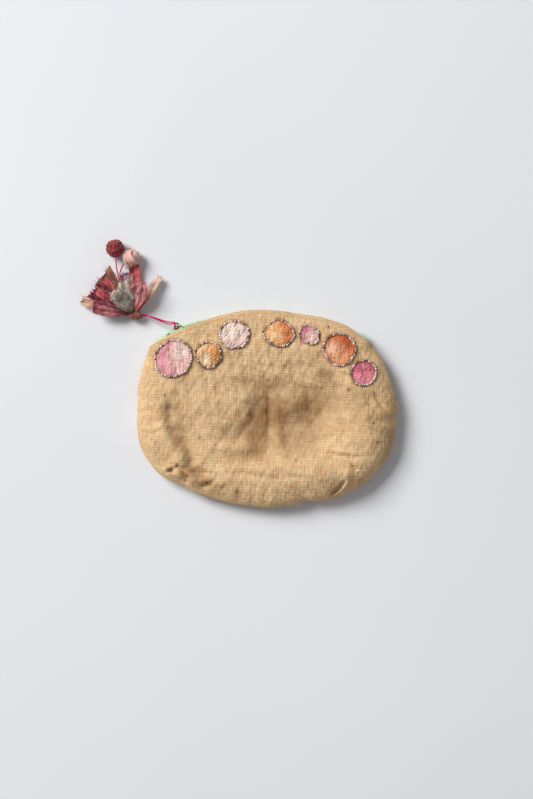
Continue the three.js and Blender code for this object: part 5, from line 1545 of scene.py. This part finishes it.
def make_wrapped_bud():
    """A ball wrapped in strips of silk: three spiral edges stand out where one strip lies on the next, fine
    pleats run round it, and the strips are gathered into a neck where the thread goes in."""
    axis = unit(np.array([0.25, 0.75, 0.6]))
    first = unit(np.cross(axis, UP))
    second = np.cross(axis, first)

    def wrap_at(way):
        turn = np.arctan2(way @ second, way @ first) / (2 * np.pi)
        up = way @ axis
        return np.mod(3 * turn + 0.9 * up + 0.06 * np.sin(9 * up + 4 * turn), 1.0), up

    def size(way):
        share, up = wrap_at(way)
        edge = share ** 2 * (1 - smooth((share - 0.93) / 0.07))
        return BUD_R * (0.9 + 0.18 * edge + 0.022 * np.sin(22 * share + 7 * up))

    def gathers(station, angle):
        return 1 + 0.13 * np.cos(8 * angle + station * 0.1)

    core, core_faces, way = ball(PEACH_BUD_AT, size, 72, 108)
    share, up = wrap_at(way)
    down = unit(np.array([-0.40, -0.90, -0.08]))
    t = np.linspace(0, 1, 14)[:, None]
    path = PEACH_BUD_AT + down * BUD_R * (0.72 + 0.62 * t)
    radius = 3.7 - 3.1 * smooth(t[:, 0] * 1.25) + 1.3 * smooth((t[:, 0] - 0.7) / 0.3)
    neck, neck_faces = tube(path, UP, radius, 40, gathers)
    shell = joined([(core, core_faces), (neck, neck_faces)])
    # where each point lies across its strip, which the finish paints as light and shade
    lap_light_and_shade = np.concatenate([share, np.full(len(neck), 0.35)])
    pole = np.concatenate([up * 0.5 + 0.5, np.linspace(0.3, 0.0, len(neck))])
    f = Finish("peach wrapping silk", Roughness=0.5, Sheen_Weight=0.35)
    mottle = f.noise(f.place(), 330.0, 3.0)
    # painted highlight: each strip is paler towards its raised lapping edge
    tone = f.maths("ADD", f.shade("lap_light_and_shade"), f.between(mottle, 0, 1, -0.25, 0.25))
    colour = f.mix(tone, srgb(222, 150, 130), srgb(246, 216, 202))
    # painted shade in the crease where a strip tucks under the next
    colour = f.mix(f.between(f.shade("lap_light_and_shade"), 0.84, 0.97), colour, srgb(122, 74, 58))
    colour = f.mix(f.between(f.shade("pole"), 0.25, 0.0), colour, srgb(238, 212, 204))
    threads = f.noise(f.vector("MULTIPLY", f.place(), (3.0, 1.0, 1.0)), 1500.0, 2.0)
    finish = f.done(colour, f.bump(threads, 0.0004))
    bud = put("wrapped_bud", "slider", shell, finish, "bud_cloth", ["bud_peach"], lap_light_and_shade=lap_light_and_shade, pole=pole)


def make_flower_wrap():
    """The base of the flower: cloth wound round and round, an ellipsoid with lapped turns."""
    def size(way):
        turn = np.arctan2(way[:, 2], way[:, 1]) / (2 * np.pi)
        lap = np.mod(2.5 * way[:, 0] + turn + 0.08 * np.sin(5 * turn * 2 * np.pi), 1.0)
        body = 1 / np.sqrt((way[:, 0] / 4.9) ** 2 + (way[:, 1] / 3.1) ** 2 + (way[:, 2] / 4.0) ** 2)
        return body * (0.95 + 0.09 * lap ** 2 * (1 - smooth((lap - 0.9) / 0.1)))

    points, faces, _ = ball(FLOWER_AT + [0.2, -0.2, 0], size)
    f = Finish("rust binding cloth", Roughness=0.75, Sheen_Weight=0.25)
    mottle = f.noise(f.place(), 420.0, 4.0)
    colour = f.mix(f.between(mottle, 0.35, 0.65), srgb(112, 56, 46), srgb(164, 92, 72))
    threads = f.noise(f.vector("MULTIPLY", f.place(), (1.0, 4.0, 4.0)), 1300.0, 2.0)
    finish = f.done(colour, f.bump(threads, 0.0003))
    put("flower_wrap", "slider", (points, faces), finish, "binding_cloth", ["flower_binding"])


# The table

def floor_finish():
    """A pale table that shows white behind the pouch, faintly uneven."""
    f = Finish("pale table", Roughness=0.9, Specular_IOR_Level=0.1)
    cloud = f.noise(f.place(), 3.0, 2.0)
    return f.done(f.mix(f.between(cloud, 0.35, 0.65), srgb(232, 234, 237), srgb(236, 237, 240)))


def make_floor():
    """A flat square of table, under the pouch and far past it."""
    mesh = bpy.data.meshes.new("table")
    corners = [(x * TABLE_HALF, y * TABLE_HALF, 0) for x, y in ((-1, -1), (1, -1), (1, 1), (-1, 1))]
    mesh.from_pydata(corners, [], [(0, 1, 2, 3)])
    mesh.materials.append(floor_finish())
    table = bpy.data.objects.new("table", mesh)
    bpy.context.scene.collection.objects.link(table)


place_camera()
place_lights()
make_threads()
make_panels()
make_linings()
make_dots()
make_beads()
make_tapes()
make_coils()
make_stops()
make_slider()
make_stitches()
make_loose_fibres()
make_flower_wrap()
make_petals()
make_berry()
make_wrapped_bud()
make_floor()
